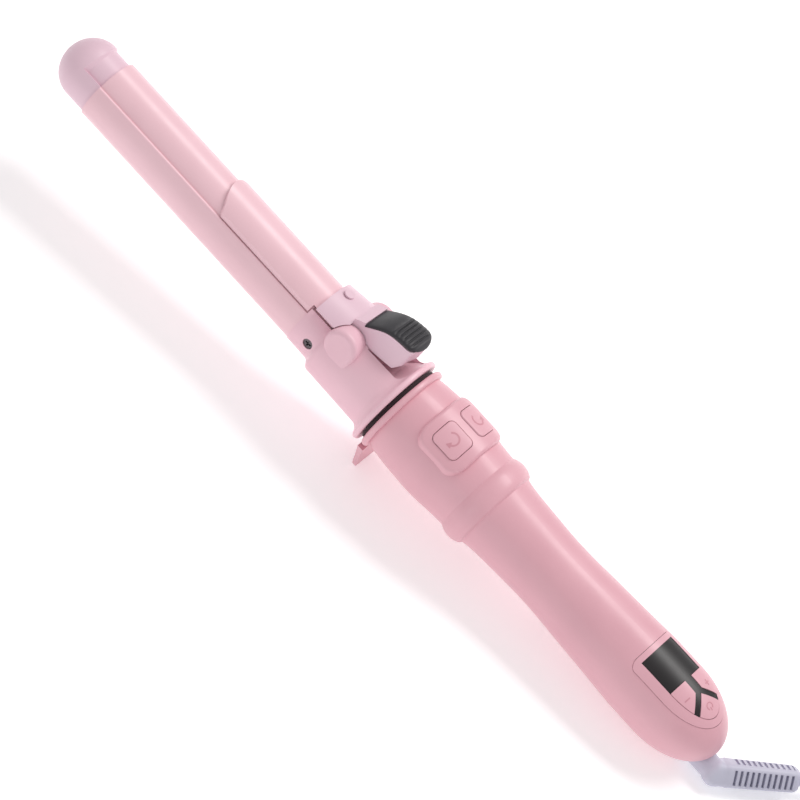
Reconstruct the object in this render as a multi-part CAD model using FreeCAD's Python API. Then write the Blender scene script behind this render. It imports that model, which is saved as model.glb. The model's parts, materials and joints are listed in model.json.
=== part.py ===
"""Rotating curling iron: a clamp barrel on a motorised head, a handle with a stand tab, and a swivel cord.

The tool is laid out along X from its tip, with +Z out of the display and +Y away from the two screws.
When every piece is made it is tilted to rest on the stand tab and the grip: the origin is then the
centre of the tab's foot, and +Z is up.  Millimetres.
"""
import FreeCAD, Part
import math
import os

V = FreeCAD.Vector

# ---- tip and barrel
tip_length = 22.3
tip_radius = 13.3
tip_nose = 12.3             # length of the rounded nose
barrel_length = 132.0       # with the root that the collar holds
barrel_radius = 14.0
barrel_bore = 11.5
root_radius = 12.6          # turned down inside the collar
spine_radius = 12.0         # the raised back under the clamp
spine_offset = 2.0
spine_half_angle = 60.0
shoulder_round = 0.9
head_turn = 15.0            # the head as it rests, turned from the display towards +Y

# ---- clamp
plate_reach = 57.5          # in front of the collar
plate_thick = 1.2
plate_gap = 0.7             # over the spine's top
plate_half_angle = 58.5
plate_tail = 9.0            # under the lever's base
base_half_angle = 47.0
base_front_radius = 18.0
base_rear_radius = 19.6
lever_half_width = 8.5
hub_radius = 5.0
pivot_height = 10.0
pin_radius = 1.5
running_gap = 0.05
side_gap = 0.4
slot_gap = 0.9              # beside the lever, behind the ears

# ---- collar
collar_lap = 11.5           # over the barrel's root
collar_front_radius = 14.3
collar_body_radius = 17.2
collar_rear_radius = 17.6
flange_radius = 21.4
flange_thick = 2.6
collar_length = 47.7
pivot_back = 19.0           # from the collar's front edge
ear_radius = 7.5
ear_reach = 16.8
ear_fade = 2.0              # of the ear's square part in front of the pivot
ear_rim = 2.0
collar_boss = 5.8
slot_back = 3.2             # of the slot's end, from the flange's face
slot_ramp = 11.0            # length of its sloping end
screw_angle = 97.0          # of the barrel screws, from the clamp
screw_back = 8.4

# ---- drive
shaft_radius = 4.0
shaft_bore = 2.6
shaft_tail = 43.0           # inside the handle
gear_module = 0.5
gear_teeth = 36
pinion_teeth = 12
gear_width = 5.0
backlash = 0.08
ring_radius = 5.1
bushing_radius = 6.2

# ---- handle
head_gap = 1.9
stand_thick = 2.8
stand_radius = 20.6
stand_height = 34.0         # of the tool's axis over the foot
foot_half_width = 11.0
foot_lean = 1.6             # of the foot behind the ring
housing_length = 52.8
housing_front_radius = 18.5
housing_radius = 20.1
bulge_radius = 20.2
neck_radius = 18.9
grip_length = 98.8
grip_front_radius = 17.7
grip_waist_radius = 15.75
grip_rear_radius = 18.25
dome_length = 28.0
wall = 2.0

# ---- buttons
pod_half_width = 15.8
pod_length = 23.0
pod_radius = 21.9
button_angle = 20.7
button_length = 13.0
button_width = 11.7
button_radius = 22.4
button_gap = 0.2

# ---- display
bezel_ahead = 19.5          # of the dome's centre
bezel_behind = 20.2
bezel_half_width = 12.9
window_ahead = 17.0
window_behind = 1.0
window_half_width = 9.65
keys_behind = 17.4
stem_half_width = 1.9
stem_length = 6.0
arm_angle = 43.0
arm_width = 2.2
key_travel = 0.5
panel_gap = 0.2
panel_proud = 0.15

# ---- cord
hub_offset = 9.2            # of the swivel under the tool's axis
swivel_radius = 5.0
elbow_behind = 5.0          # of the dome's end
elbow_angle = 45.0
swivel_turn = 11.5          # of the boot, from level, at rest
boot_length = 34.0
boot_end_radius = 4.3
cord_diameter = 5.2
coil_turn_radius = 29.0     # middle of the turns
coil_width = 18.0
coil_layers = 4


# ---- small fits and fixings
tip_plug = 9.0
tip_pin_radius = 0.7
heater_length = 82.0
heater_plate = 3.2
heater_half_width = 9.0
screw_radius = 1.1
screw_head_radius = 2.2
rivet_radius = 1.5
rivet_foot = 14.4
recess_floor = 6.3
spring_coil_radius = 3.1
spring_wire = 0.9
spring_half_width = 3.2
motor_shaft_radius = 1.5
motor_width = 12.0
motor_height = 10.0
bushing_length = 5.0
bushing_rim = 0.6
foot_thick = 1.9
screw_seat = -10.6
bezel_gap = 0.15
button_lip = 16.8
button_stem = 14.9
button_board_top = 10.7
board_top = 8.6
board_thick = 1.4
switch_height = 1.8
cord_grip = 10.0
tie_width = 6.0
tie_thick = 0.8
tie_angle = -75.0
plug_relief = 12.0
plug_length = 30.0
plug_width = 24.0
plug_pin_radius = 2.0
plug_pin_length = 19.0
plug_pin_pitch = 19.0


# ---- stations along the tool, from the tip
barrel_end = tip_length + barrel_length
collar_front = barrel_end - collar_lap
collar_rear = collar_front + collar_length
pivot_x = collar_front + pivot_back
stand_front = collar_rear + head_gap
housing_front = stand_front + stand_thick
housing_end = housing_front + housing_length
dome_x = housing_end + grip_length
handle_end = dome_x + dome_length
shaft_end = stand_front + shaft_tail
gear_x = housing_front + 8.0
rings_x = gear_x + gear_width + 3.0
rear_bushing_x = rings_x + 15.0
foot_x = stand_front + stand_thick / 2 + foot_lean
swivel_x0 = dome_x + 6.0
pod_x = housing_front + 11.2
button_x = pod_x + pod_length / 2
centre_distance = gear_module * (gear_teeth + pinion_teeth) / 2
plate_inner_radius = spine_radius + 0.1
plate_offset = spine_offset + plate_gap - 0.1


# ---- shapes
def tube(x0, x1, outer, inner=0.0, y=0.0, z=0.0):
    """A round bar or tube along X."""
    solid = Part.makeCylinder(outer, x1 - x0, V(x0, y, z), V(1, 0, 0))
    if inner > 0:
        solid = solid.cut(Part.makeCylinder(inner, x1 - x0, V(x0, y, z), V(1, 0, 0)))
    return solid


def block(x0, x1, y0, y1, z0, z1):
    """A box between two corners."""
    return Part.makeBox(x1 - x0, y1 - y0, z1 - z0, V(x0, y0, z0))


def cross_pin(x, z, radius, y0, y1):
    """A round bar along Y."""
    return Part.makeCylinder(radius, y1 - y0, V(x, y0, z), V(0, 1, 0))


def line(a, b):
    """A straight edge."""
    return Part.LineSegment(a, b).toShape()


def arc(a, b, c):
    """A round edge through three points."""
    return Part.Arc(a, b, c).toShape()


def smooth(points, start=None, end=None):
    """A smooth edge through points, with its end directions where they are given."""
    curve = Part.BSplineCurve()
    if start is None:
        curve.interpolate(Points=points)
    else:
        curve.interpolate(Points=points, InitialTangent=start, FinalTangent=end)
    return curve.toShape()


def turned(edges):
    """The solid that a closed outline in the XZ plane sweeps about the tool's axis."""
    face = Part.Face(Part.Wire(edges))
    return Part.makeSolid(face.revolve(V(0, 0, 0), V(1, 0, 0), 360))


def plan(edges, z0, z1):
    """The upright solid over a closed outline in the XY plane."""
    face = Part.Face(Part.Wire(edges))
    solid = face.extrude(V(0, 0, z1 - z0))
    solid.translate(V(0, 0, z0))
    return solid


def profile(edges, y0, y1):
    """The solid that a closed outline in the XZ plane fills from y0 to y1."""
    face = Part.Face(Part.Wire(edges))
    solid = face.extrude(V(0, y1 - y0, 0))
    solid.translate(V(0, y0, 0))
    return solid


def loop(points):
    """Straight edges round a list of points."""
    return [line(a, b) for a, b in zip(points, points[1:] + points[:1])]


def rounded_plan(x0, x1, half_width, corner, z0, z1):
    """An upright block with four round corners."""
    solid = block(x0, x1, -half_width, half_width, z0, z1)
    upright = [e for e in solid.Edges if abs(e.Vertexes[0].Z - e.Vertexes[1].Z) > 0.5 * (z1 - z0)]
    return solid.makeFillet(corner, upright)


def wedge(x0, x1, half_angle, reach=80.0):
    """A wedge along X, either side of +Z."""
    a = math.radians(half_angle)
    side = reach * math.sin(a)
    top = reach * math.cos(a)
    corners = [V(x0, 0, 0), V(x0, side, top), V(x0, -side, top)]
    return Part.Face(Part.Wire(loop(corners))).extrude(V(x1 - x0, 0, 0))


def about_axis(shape, degrees):
    """A copy turned about the tool's axis."""
    copy = shape.copy()
    copy.rotate(V(0, 0, 0), V(1, 0, 0), degrees)
    return copy


def turned_point(y, z):
    """A point of the head's own cross-section, turned as the head rests."""
    a = math.radians(-head_turn)
    return y * math.cos(a) - z * math.sin(a), y * math.sin(a) + z * math.cos(a)


def gear(x0, width, teeth, turn, z):
    """A spur gear along X with involute flanks; turn is the angle of its first tooth from +Z."""
    pitch = gear_module * teeth / 2
    base = pitch * math.cos(math.radians(20))
    tip = pitch + gear_module
    root = pitch - 1.25 * gear_module
    flank_low = max(base, root)
    involute = math.tan(math.radians(20)) - math.radians(20)
    half_tooth = math.pi / (2 * teeth) - backlash / (2 * pitch) + involute
    flank = []
    for step in range(5):
        r = flank_low + (tip - flank_low) * step / 4
        pressure = math.acos(min(1.0, base / r))
        flank.append((r, half_tooth - math.tan(pressure) + pressure))
    flank = [(root, flank[0][1])] + flank
    corners = []
    for tooth in range(teeth):
        middle = math.radians(turn) + 2 * math.pi * tooth / teeth
        side = [(r, middle - a) for r, a in flank] + [(r, middle + a) for r, a in reversed(flank)]
        corners += [V(x0, r * math.sin(a), z + r * math.cos(a)) for r, a in side]
    if abs(flank[0][0] - flank[1][0]) < 1e-9:
        corners = [c for i, c in enumerate(corners) if (corners[i - 1] - c).Length > 1e-6]
    return Part.Face(Part.Wire(loop(corners))).extrude(V(width, 0, 0))


# ---- the handle's outside
def housing_edges(inset):
    """The edges of the handle's outline from its front to its round end, moved in by inset."""
    x = housing_front
    front = [(0, housing_front_radius), (6.2, 19.4), (16.5, 20.0), (25.5, housing_radius),
             (35.5, 19.3), (42.4, neck_radius)]
    front_edge = smooth([V(x + a, 0, r - inset) for a, r in front])
    neck = V(x + 42.4, 0, neck_radius - inset)
    crest = V(x + 48.2, 0, bulge_radius - inset)
    shoulder = V(housing_end - 0.8, 0, neck_radius - inset)
    step = V(housing_end, 0, grip_front_radius - inset)
    grip = [(0.034, 17.15), (0.16, 16.35), (0.32, grip_waist_radius), (0.51, 16.5),
            (0.68, 17.3), (0.83, 18.1)]
    rear = V(dome_x, 0, grip_rear_radius - inset)
    grip_points = [step] + [V(housing_end + a * grip_length, 0, r - inset) for a, r in grip] + [rear]
    grip_edge = smooth(grip_points, V(1, 0, -0.25), V(1, 0, 0))
    dome = Part.Ellipse(V(dome_x, 0, 0), dome_length - inset, grip_rear_radius - inset)
    dome.Axis = V(0, -1, 0)
    dome.XAxis = V(1, 0, 0)
    dome_edge = dome.toShape(0, math.pi / 2)
    return [front_edge, arc(neck, crest, shoulder), line(shoulder, step), grip_edge, dome_edge]


def handle_form(inset):
    """The whole handle as one solid, moved in by inset."""
    edges = housing_edges(inset)
    start = V(housing_front, 0, 0)
    end = V(handle_end - inset, 0, 0)
    front = V(housing_front, 0, housing_front_radius - inset)
    return turned(edges + [line(start, front), line(end, start)])


def rest_tilt():
    """The angle at which the tool lies on its foot and on the grip's underside."""
    slopes = []
    for edge in housing_edges(0.0)[3:]:
        for p in edge.discretize(60):
            slopes.append((stand_height - p.z) / (p.x - foot_x))
    return math.atan(min(slopes))


tilt = rest_tilt()


def at_rest(shape):
    """The tool's piece, tilted onto its foot."""
    placed = shape.copy()
    placed.translate(V(-foot_x, 0, stand_height))
    placed.rotate(V(0, 0, 0), V(0, 1, 0), math.degrees(tilt))
    return placed


def point_at_rest(x, y, z):
    """A point of the tool, in the resting frame."""
    return FreeCAD.Rotation(V(0, 1, 0), math.degrees(tilt)).multVec(V(x - foot_x, y, z + stand_height))


def direction_at_rest(x, y, z):
    """A direction of the tool, in the resting frame."""
    return FreeCAD.Rotation(V(0, 1, 0), math.degrees(tilt)).multVec(V(x, y, z))


def write(name, shape, laid=False):
    """Check a piece and write its STEP file."""
    solid = shape if laid else at_rest(shape)
    solid = solid.removeSplitter()
    if len(solid.Solids) == 1:
        solid = solid.Solids[0]
    if not solid.isValid() or solid.Volume <= 0 or not solid.Solids:
        raise ValueError(name + " is not a sound solid")
    solid.exportStep("parts/" + name + ".step")
    print(f"{name:22s} {len(solid.Solids)} solid(s) {solid.Volume:10.1f} mm3")


# ---- head: tip and barrel
def groove_cutter(x0, x1, inset=0.0):
    """What is cut away beside the spine."""
    return wedge(x0, x1, spine_half_angle).cut(tube(x0 - 1, x1 + 1, spine_radius - inset, z=spine_offset))


def make_cool_tip():
    outline = Part.Ellipse(V(tip_nose, 0, 0), tip_radius, tip_nose)
    outline.Axis = V(0, -1, 0)
    outline.XAxis = V(0, 0, 1)
    nose = outline.toShape(0, math.pi / 2)
    shoulder = V(tip_nose, 0, tip_radius)
    seam = V(tip_length, 0, tip_radius)
    middle = V(tip_length, 0, 0)
    form = turned([nose, line(shoulder, seam), line(seam, middle), line(middle, V(0, 0, 0))])
    inset = barrel_radius - tip_radius
    start = V(tip_nose - 2.0, 0, spine_offset - inset)
    fade = Part.makeCone(spine_radius + 2.0, spine_radius - inset, 4.0, start, V(1, 0, 0))
    cutter = wedge(tip_nose - 2.0, tip_length + 1, spine_half_angle)
    cutter = cutter.cut(fade).cut(tube(tip_nose + 2.0, tip_length + 2, spine_radius - inset,
                                       z=spine_offset - inset))
    form = form.cut(cutter)
    plug = tube(tip_length, tip_length + tip_plug, barrel_bore, barrel_bore - 2.0)
    hollow = tube(tip_length - 9, tip_length + 1, barrel_bore - 2.0)
    return form.fuse(plug).cut(hollow).cut(tip_pin_group(0.0))


def tip_pin_group(gap):
    """The two small pins that hold the tip, either side."""
    pins = []
    for side in (-1, 1):
        foot = V(tip_length - 1.6, 0, tip_radius - 4.6)
        pin = Part.makeCylinder(tip_pin_radius + gap, 4.4, foot, V(0, 0, 1))
        pins.append(about_axis(pin, side * screw_angle))
    return pins[0].fuse(pins[1])


def make_barrel():
    form = tube(tip_length, collar_front, barrel_radius)
    form = form.cut(groove_cutter(tip_length - 1, collar_front + 1))
    a = math.radians(spine_half_angle)
    side = barrel_radius * math.sin(a)
    shoulders = [e for e in form.Edges
                 if e.Length > collar_front - tip_length - 1 and abs(abs(e.Vertexes[0].Y) - side) < 0.2
                 and e.Vertexes[0].Point.sub(V(e.Vertexes[0].X, 0, 0)).Length > barrel_radius - 0.1]
    form = form.makeFillet(shoulder_round, shoulders)
    form = form.fuse(tube(collar_front, barrel_end, root_radius))
    return form.cut(tube(tip_length - 1, barrel_end + 1, barrel_bore)).cut(screw_group(screw_radius))


def make_heater():
    """A flat ceramic plate between two hollow half-round wedges."""
    x0 = tip_length + 16.0
    x1 = x0 + heater_length
    half = heater_plate / 2
    plate = block(x0 + 2, x1 - 2, -heater_half_width, heater_half_width, -half, half)
    round_bar = tube(x0, x1, barrel_bore).cut(tube(x0 - 1, x1 + 1, barrel_bore - 2.2))
    webs = block(x0, x1, -barrel_bore + 1.5, barrel_bore - 1.5, -half - 1.6, half + 1.6)
    slot = block(x0 - 1, x1 + 1, -barrel_bore - 1, barrel_bore + 1, -half, half)
    wedges = round_bar.fuse(webs).cut(slot)
    bead = tube(x1 + 0.5, x1 + 6.5, 1.3)
    sleeve = tube(x1 + 9.0, x1 + 17.0, barrel_bore, 2.8)
    return plate, wedges, bead, sleeve


# ---- head: collar
def screw_group(radius):
    """The two screws' shanks, either side of the barrel's root."""
    shanks = []
    for side in (-1, 1):
        foot = V(collar_front + screw_back, 0, 9.0)
        shank = Part.makeCylinder(radius, collar_front_radius - 9.0, foot, V(0, 0, 1))
        shanks.append(about_axis(shank, side * screw_angle))
    return shanks[0].fuse(shanks[1])


def make_barrel_screws():
    top = collar_front_radius - 0.5
    screws = []
    x = collar_front + screw_back
    for side in (-1, 1):
        head = Part.makeCylinder(screw_head_radius, 1.0, V(x, 0, top - 1.0), V(0, 0, 1))
        slot = Part.makeBox(0.7, 2.8, 0.9, V(x - 0.35, -1.4, top - 0.8))
        cross = Part.makeBox(2.8, 0.7, 0.9, V(x - 1.4, -0.35, top - 0.8))
        shank = Part.makeCylinder(screw_radius, top - 1.0 - 10.2, V(x, 0, 10.2), V(0, 0, 1))
        screws.append(about_axis(head.cut(slot).cut(cross).fuse(shank), side * screw_angle))
    return Part.makeCompound(screws)


def ears():
    """The two pivot ears, each round at the top and square behind, with a soft rim."""
    low = pivot_height - math.sqrt(ear_radius ** 2 - ear_fade ** 2)
    front = V(pivot_x - ear_fade, 0, low)
    rear = V(pivot_x + ear_radius, 0, pivot_height)
    rear_foot = V(pivot_x + ear_radius, 0, 1.0)
    front_foot = V(pivot_x - ear_fade, 0, 1.0)
    top = arc(rear, V(pivot_x, 0, pivot_height + ear_radius), front)
    width = ear_reach - lever_half_width - side_gap
    edges = [top, line(front, front_foot), line(front_foot, rear_foot), line(rear_foot, rear)]
    ear = profile(edges, 0, width)
    outer = [e for e in ear.Edges if e.BoundBox.YMin > width - 0.1
             and (e.BoundBox.ZMax > pivot_height + 1 or e.BoundBox.XMin > pivot_x + ear_radius - 0.1)]
    ear = ear.makeFillet(ear_rim, outer)
    ear.translate(V(0, lever_half_width + side_gap, 0))
    return [ear, ear.mirror(V(0, 0, 0), V(0, 1, 0))]


def lever_slot(end):
    """The slot that the lever moves in, with a sloping end and two round corners."""
    start = pivot_x - 5.8
    side = [V(start, 0, recess_floor), V(end - slot_ramp, 0, recess_floor),
            V(end - 4.8, 0, recess_floor + 5.0), V(end, 0, collar_rear_radius - 0.9),
            V(end, 0, 30), V(start, 0, 30)]
    half = lever_half_width + slot_gap
    behind = rounded_plan(pivot_x, end, half, 3.0, 0, 40).common(profile(loop(side), -half, half))
    behind = behind.cut(block(start, pivot_x + ear_radius, -half, half, 0, 40))
    half = lever_half_width + side_gap
    between = block(start, pivot_x + ear_radius + 0.1, -half, half, recess_floor, 30)
    return behind, between


def make_collar():
    x = collar_front
    front = V(x, 0, collar_front_radius)
    step_low = V(x + 10.3, 0, collar_front_radius + 0.1)
    step_high = V(x + 14.6, 0, collar_body_radius)
    step_middle = V(x + 12.2, 0, (collar_front_radius + collar_body_radius) / 2 - 0.15)
    rise = smooth([step_low, step_middle, step_high], V(1, 0, 0.1), V(1, 0, 0.05))
    flange_foot = V(collar_rear - flange_thick - 3.6, 0, collar_rear_radius)
    flange_low = V(collar_rear - flange_thick, 0, flange_radius - 0.9)
    flange_middle = V(collar_rear - flange_thick - 1.2, 0, collar_rear_radius + 1.1)
    flare = smooth([flange_foot, flange_middle, flange_low], V(1, 0, 0.03), V(0.35, 0, 1))
    rim = arc(flange_low, V(collar_rear - flange_thick / 2, 0, flange_radius),
              V(collar_rear, 0, flange_radius - 1.0))
    rear_low = V(collar_rear, 0, flange_radius - 1.0)
    edges = [line(V(x, 0, 0), front), line(front, step_low), rise, line(step_high, flange_foot), flare, rim,
             line(rear_low, V(collar_rear, 0, 0)), line(V(collar_rear, 0, 0), V(x, 0, 0))]
    body = turned(edges)

    # the barrel's socket, and the pocket that the lever's base works in
    body = body.cut(tube(x - 1, barrel_end, root_radius))
    pocket_end = pivot_x - 3.0
    pocket = wedge(x - 1, pocket_end, base_half_angle + 3.0).cut(tube(x - 2, pocket_end + 1, root_radius))
    body = body.cut(pocket)

    # hollow behind the web, round the shaft's boss
    hollow = tube(barrel_end + 6.0, collar_rear + 1, collar_body_radius - 2.0)
    hollow = hollow.cut(tube(barrel_end + 5.0, collar_rear - 2.5, collar_boss))
    slot_half = lever_half_width + side_gap
    slot_end = collar_rear - slot_back
    walls = block(pivot_x - 8, slot_end + 1.6, -slot_half - 2.0, slot_half + 2.0, recess_floor - 1.4, 30)
    hollow = hollow.cut(walls)
    body = body.cut(hollow)

    for ear in ears():
        body = body.fuse(ear)
    for slot in lever_slot(slot_end):
        body = body.cut(slot)
    body = body.cut(cross_pin(pivot_x, pivot_height, hub_radius + side_gap, -slot_half, slot_half))
    body = body.cut(tube(barrel_end - 1, collar_rear + 1, shaft_radius))
    body = body.cut(cross_pin(pivot_x, pivot_height, pin_radius, -ear_reach + 1.2, ear_reach - 1.2))
    body = body.cut(screw_group(screw_radius))
    for side in (-1, 1):
        seat = V(x + screw_back, 0, collar_front_radius - 1.5)
        sink = Part.makeCylinder(screw_head_radius + 0.1, 5, seat, V(0, 0, 1))
        body = body.cut(about_axis(sink, side * screw_angle))
    return body


def make_pivot_pin():
    return cross_pin(pivot_x, pivot_height, pin_radius, -ear_reach + 1.2, ear_reach - 1.2)


# ---- clamp
def plate_sector(x0, x1, half_angle):
    """A length of the spoon's curved sheet."""
    outer = plate_inner_radius + plate_thick
    sheet = tube(x0, x1, outer, plate_inner_radius, z=plate_offset)
    return sheet.common(wedge(x0 - 1, x1 + 1, half_angle))


def make_clamp_plate():
    x0 = collar_front - plate_reach
    wide = plate_sector(x0, collar_front - 0.6, plate_half_angle)
    left = [V(x0 + 4.2, -9.3, 0), V(x0, 0, 0), V(x0 + 4.2, 9.3, 0)]
    corner = [V(x0 + 5.5, 10.9, 0), V(x0 + 8.5, 11.6, 0)]
    far = V(x0 + 8.5, -11.6, 0)
    rear = [V(collar_front + 1, 11.6, 0), V(collar_front + 1, -11.6, 0)]
    edges = [arc(left[0], left[1], left[2]), arc(left[2], corner[0], corner[1]), line(corner[1], rear[0]),
             line(rear[0], rear[1]), line(rear[1], far), arc(far, V(x0 + 5.5, -10.9, 0), left[0])]
    wide = wide.common(plan(edges, 0, 30))
    tail = plate_sector(collar_front - 0.6, collar_front + plate_tail, base_half_angle - 3.0)
    return wide.fuse(tail).cut(rivet_group(0.0))


def rivet_group(gap):
    """The rivet through the lever's base and the plate."""
    x = collar_front + 5.4
    return Part.makeCylinder(rivet_radius + gap, 4.4, V(x, 0, rivet_foot), V(0, 0, 1))


def make_rivet():
    x = collar_front + 5.4
    head = Part.makeCylinder(rivet_radius + 0.7, 0.6, V(x, 0, rivet_foot + 4.4), V(0, 0, 1))
    return rivet_group(0.0).fuse(head)


def lever_plan(grow, z0, z1):
    """The thumb lever's outline seen from above, with a round rear end."""
    half = lever_half_width + grow
    front = pivot_x - 4.2
    turn = pivot_x + 17.4
    end = pivot_x + 22.6 + grow
    a = V(front, half, 0)
    b = V(turn, half, 0)
    c = V(turn, -half, 0)
    d = V(front, -half, 0)
    nose = smooth([b, V(turn + 3.9, half * 0.62, 0), V(end, 0, 0), V(turn + 3.9, -half * 0.62, 0), c],
                  V(1, 0, 0), V(-1, 0, 0))
    return plan([line(a, b), nose, line(c, d), line(d, a)], z0, z1)


pad_line = [(0.4, 20.1), (5.0, 23.5), (8.6, 25.7), (15.5, 27.2), (23.5, 28.0)]


def pad_seat():
    """The smooth line that the thumb pad lies on, from front to rear."""
    return smooth([V(pivot_x + a, 0, h) for a, h in pad_line])


def make_clamp_lever():
    x = collar_front
    length = pivot_x - 4.0 - (x + 1.5)
    cone = Part.makeCone(base_front_radius, base_rear_radius, length, V(x + 1.5, 0, 0), V(1, 0, 0))
    base = cone.common(wedge(x, pivot_x, base_half_angle))
    base = base.cut(tube(x, pivot_x, plate_inner_radius + plate_thick, z=plate_offset))
    base = base.cut(tube(x + plate_tail, pivot_x, root_radius + 1.2))
    for ear_side in (-1, 1):
        inner, outer = sorted([ear_side * (lever_half_width + side_gap / 2), ear_side * 30])
        clear = cross_pin(pivot_x, pivot_height, ear_radius + side_gap, inner, outer)
        base = base.cut(clear)

    top = pad_seat()
    p0 = V(pivot_x + pad_line[0][0], 0, pad_line[0][1])
    p1 = V(pivot_x + pad_line[-1][0], 0, pad_line[-1][1])
    rim = V(pivot_x, 0, p0.z + 2.0)
    low_rear = V(pivot_x + 19.0, 0, 16.2)
    low_mid = V(pivot_x + 5.2, 0, 13.9)
    low_front = V(pivot_x - 4.2, 0, 14.6)
    back_top = V(pivot_x - 4.2, 0, base_rear_radius)
    neck = smooth([back_top, V(pivot_x - 2.6, 0, base_rear_radius + 0.9), rim], V(1, 0, 0.2), V(0.7, 0, 1))
    tail = V(p1.x, 0, 23.7)
    side = [top, line(p1, tail), line(tail, low_rear), line(low_rear, low_mid), line(low_mid, low_front),
            line(low_front, back_top), neck, line(rim, p0)]
    form = profile(side, -20, 20).common(lever_plan(0.0, 0, 40))
    hub = cross_pin(pivot_x, pivot_height, hub_radius, -lever_half_width, lever_half_width)
    web = block(pivot_x - 4.2, pivot_x + 4.6, -lever_half_width, lever_half_width, pivot_height, 15)
    web = web.cut(block(pivot_x - 20, pivot_x - 4.0, -20, 20, 0, 14))
    lever = form.fuse(base).fuse(hub).fuse(web)
    spring_room = spring_coil_radius + 1.1
    lever = lever.cut(cross_pin(pivot_x, pivot_height, spring_room, -spring_half_width, spring_half_width))
    lever = lever.cut(block(pivot_x, pivot_x + 12, -spring_half_width, spring_half_width, pivot_height + 2.2,
                            pivot_height + 4.2))
    lever = lever.cut(block(pivot_x, pivot_x + 6.2, -spring_half_width, spring_half_width, pivot_height - 6,
                            pivot_height))
    lever = lever.cut(cross_pin(pivot_x, pivot_height, pin_radius + running_gap, -20, 20))
    return lever.cut(rivet_group(0.0))


def make_thumb_pad():
    top_points = [(0.4, 21.8), (5.4, 26.1), (10.0, 28.5), (15.0, 29.8), (19.5, 29.9), (23.5, 28.8)]
    seat = pad_seat()
    p0 = V(pivot_x + pad_line[0][0], 0, pad_line[0][1])
    p1 = V(pivot_x + pad_line[-1][0], 0, pad_line[-1][1])
    q0 = V(pivot_x + top_points[0][0], 0, top_points[0][1])
    q1 = V(pivot_x + top_points[-1][0], 0, top_points[-1][1])
    top = smooth([V(pivot_x + a, 0, h) for a, h in top_points])
    form = profile([seat, line(p1, q1), top, line(q0, p0)], -20, 20)
    return form.common(lever_plan(0.15, 0, 40))


def make_clamp_spring():
    """A torsion spring round the pivot pin, with a leg under the lever and a leg on the slot's floor."""
    turns = 6
    half = spring_wire * turns / 2
    inner = spring_coil_radius - spring_wire / 2
    crest = spring_coil_radius + spring_wire / 2
    corners = [V(0, -half + turn * spring_wire, spring_coil_radius) for turn in range(turns + 1)]
    edges = []
    for a, b in zip(corners, corners[1:]):
        edges.append(arc(a, V(0, (a.y + b.y) / 2, crest), b))
    edges += loop([corners[-1], V(0, half, inner), V(0, -half, inner), corners[0]])[:3]
    coil = Part.makeSolid(Part.Face(Part.Wire(edges)).revolve(V(0, 0, 0), V(0, 1, 0), 360))
    coil.translate(V(pivot_x, 0, pivot_height))
    y = half - spring_wire / 2
    upper = tube(pivot_x, pivot_x + 8.0, spring_wire / 2 - 0.02, y=-y, z=pivot_height + spring_coil_radius)
    lower = tube(pivot_x, pivot_x + 6.0, spring_wire / 2 - 0.02, y=y, z=pivot_height - spring_coil_radius)
    return coil.fuse(upper).fuse(lower)


# ---- drive
def make_drive_shaft():
    return tube(barrel_end, shaft_end, shaft_radius, shaft_bore)


def make_drive_gear():
    teeth = gear(gear_x, gear_width, gear_teeth, 180.0, 0.0)
    return teeth.cut(tube(gear_x - 1, gear_x + gear_width + 1, shaft_radius))


def make_pinion():
    half_space = 180.0 / pinion_teeth
    teeth = gear(gear_x, gear_width, pinion_teeth, half_space, -centre_distance)
    return teeth.cut(tube(gear_x - 1, gear_x + gear_width + 1, motor_shaft_radius, z=-centre_distance))


def make_motor():
    """The output shaft, the gearbox and the flat-sided can behind it."""
    x0 = gear_x + gear_width + 2.2
    z = -centre_distance
    half = motor_width / 2
    low = z - motor_height / 2
    high = z + motor_height / 2
    shaft = tube(gear_x - 0.8, x0 + 3.0, motor_shaft_radius, z=z)
    gearbox = block(x0, x0 + 9.0, -half, half, low, high).common(tube(x0, x0 + 9.0, half + 1.0, z=z))
    gearbox = gearbox.cut(tube(x0 - 1, x0 + 3.2, motor_shaft_radius + running_gap, z=z))
    can = tube(x0 + 9.0, x0 + 24.0, half, z=z).common(block(x0, x0 + 30, -half, half, low, high))
    return shaft, gearbox, can


def make_slip_rings():
    carrier = tube(rings_x, rings_x + 9.0, ring_radius, shaft_radius)
    rings = []
    for at in (1.5, 5.5):
        band = tube(rings_x + at, rings_x + at + 2.0, ring_radius, ring_radius - 0.5)
        carrier = carrier.cut(band)
        rings.append(band)
    return carrier, Part.makeCompound(rings)


def make_brushes():
    """The brush holder beside the rings, and its two brushes."""
    face = ring_radius + running_gap
    holder = block(rings_x, rings_x + 9.0, face + 1.2, face + 6.0, -4.0, 4.0)
    brushes = []
    for at in (1.5, 5.5):
        bar = block(rings_x + at + 0.1, rings_x + at + 1.9, face - 1.0, face + 4.0, -1.2, 1.2)
        bar = bar.cut(tube(rings_x, rings_x + 10, face))
        holder = holder.cut(bar)
        brushes.append(bar)
    return holder, Part.makeCompound(brushes)


def make_bushing(x0, flange_side):
    form = tube(x0, x0 + bushing_length, bushing_radius, shaft_radius + running_gap)
    collar_x = x0 - 1.0 if flange_side < 0 else x0 + bushing_length
    return form.fuse(tube(collar_x, collar_x + 1.0, bushing_radius + bushing_rim, shaft_radius + running_gap))


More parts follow.
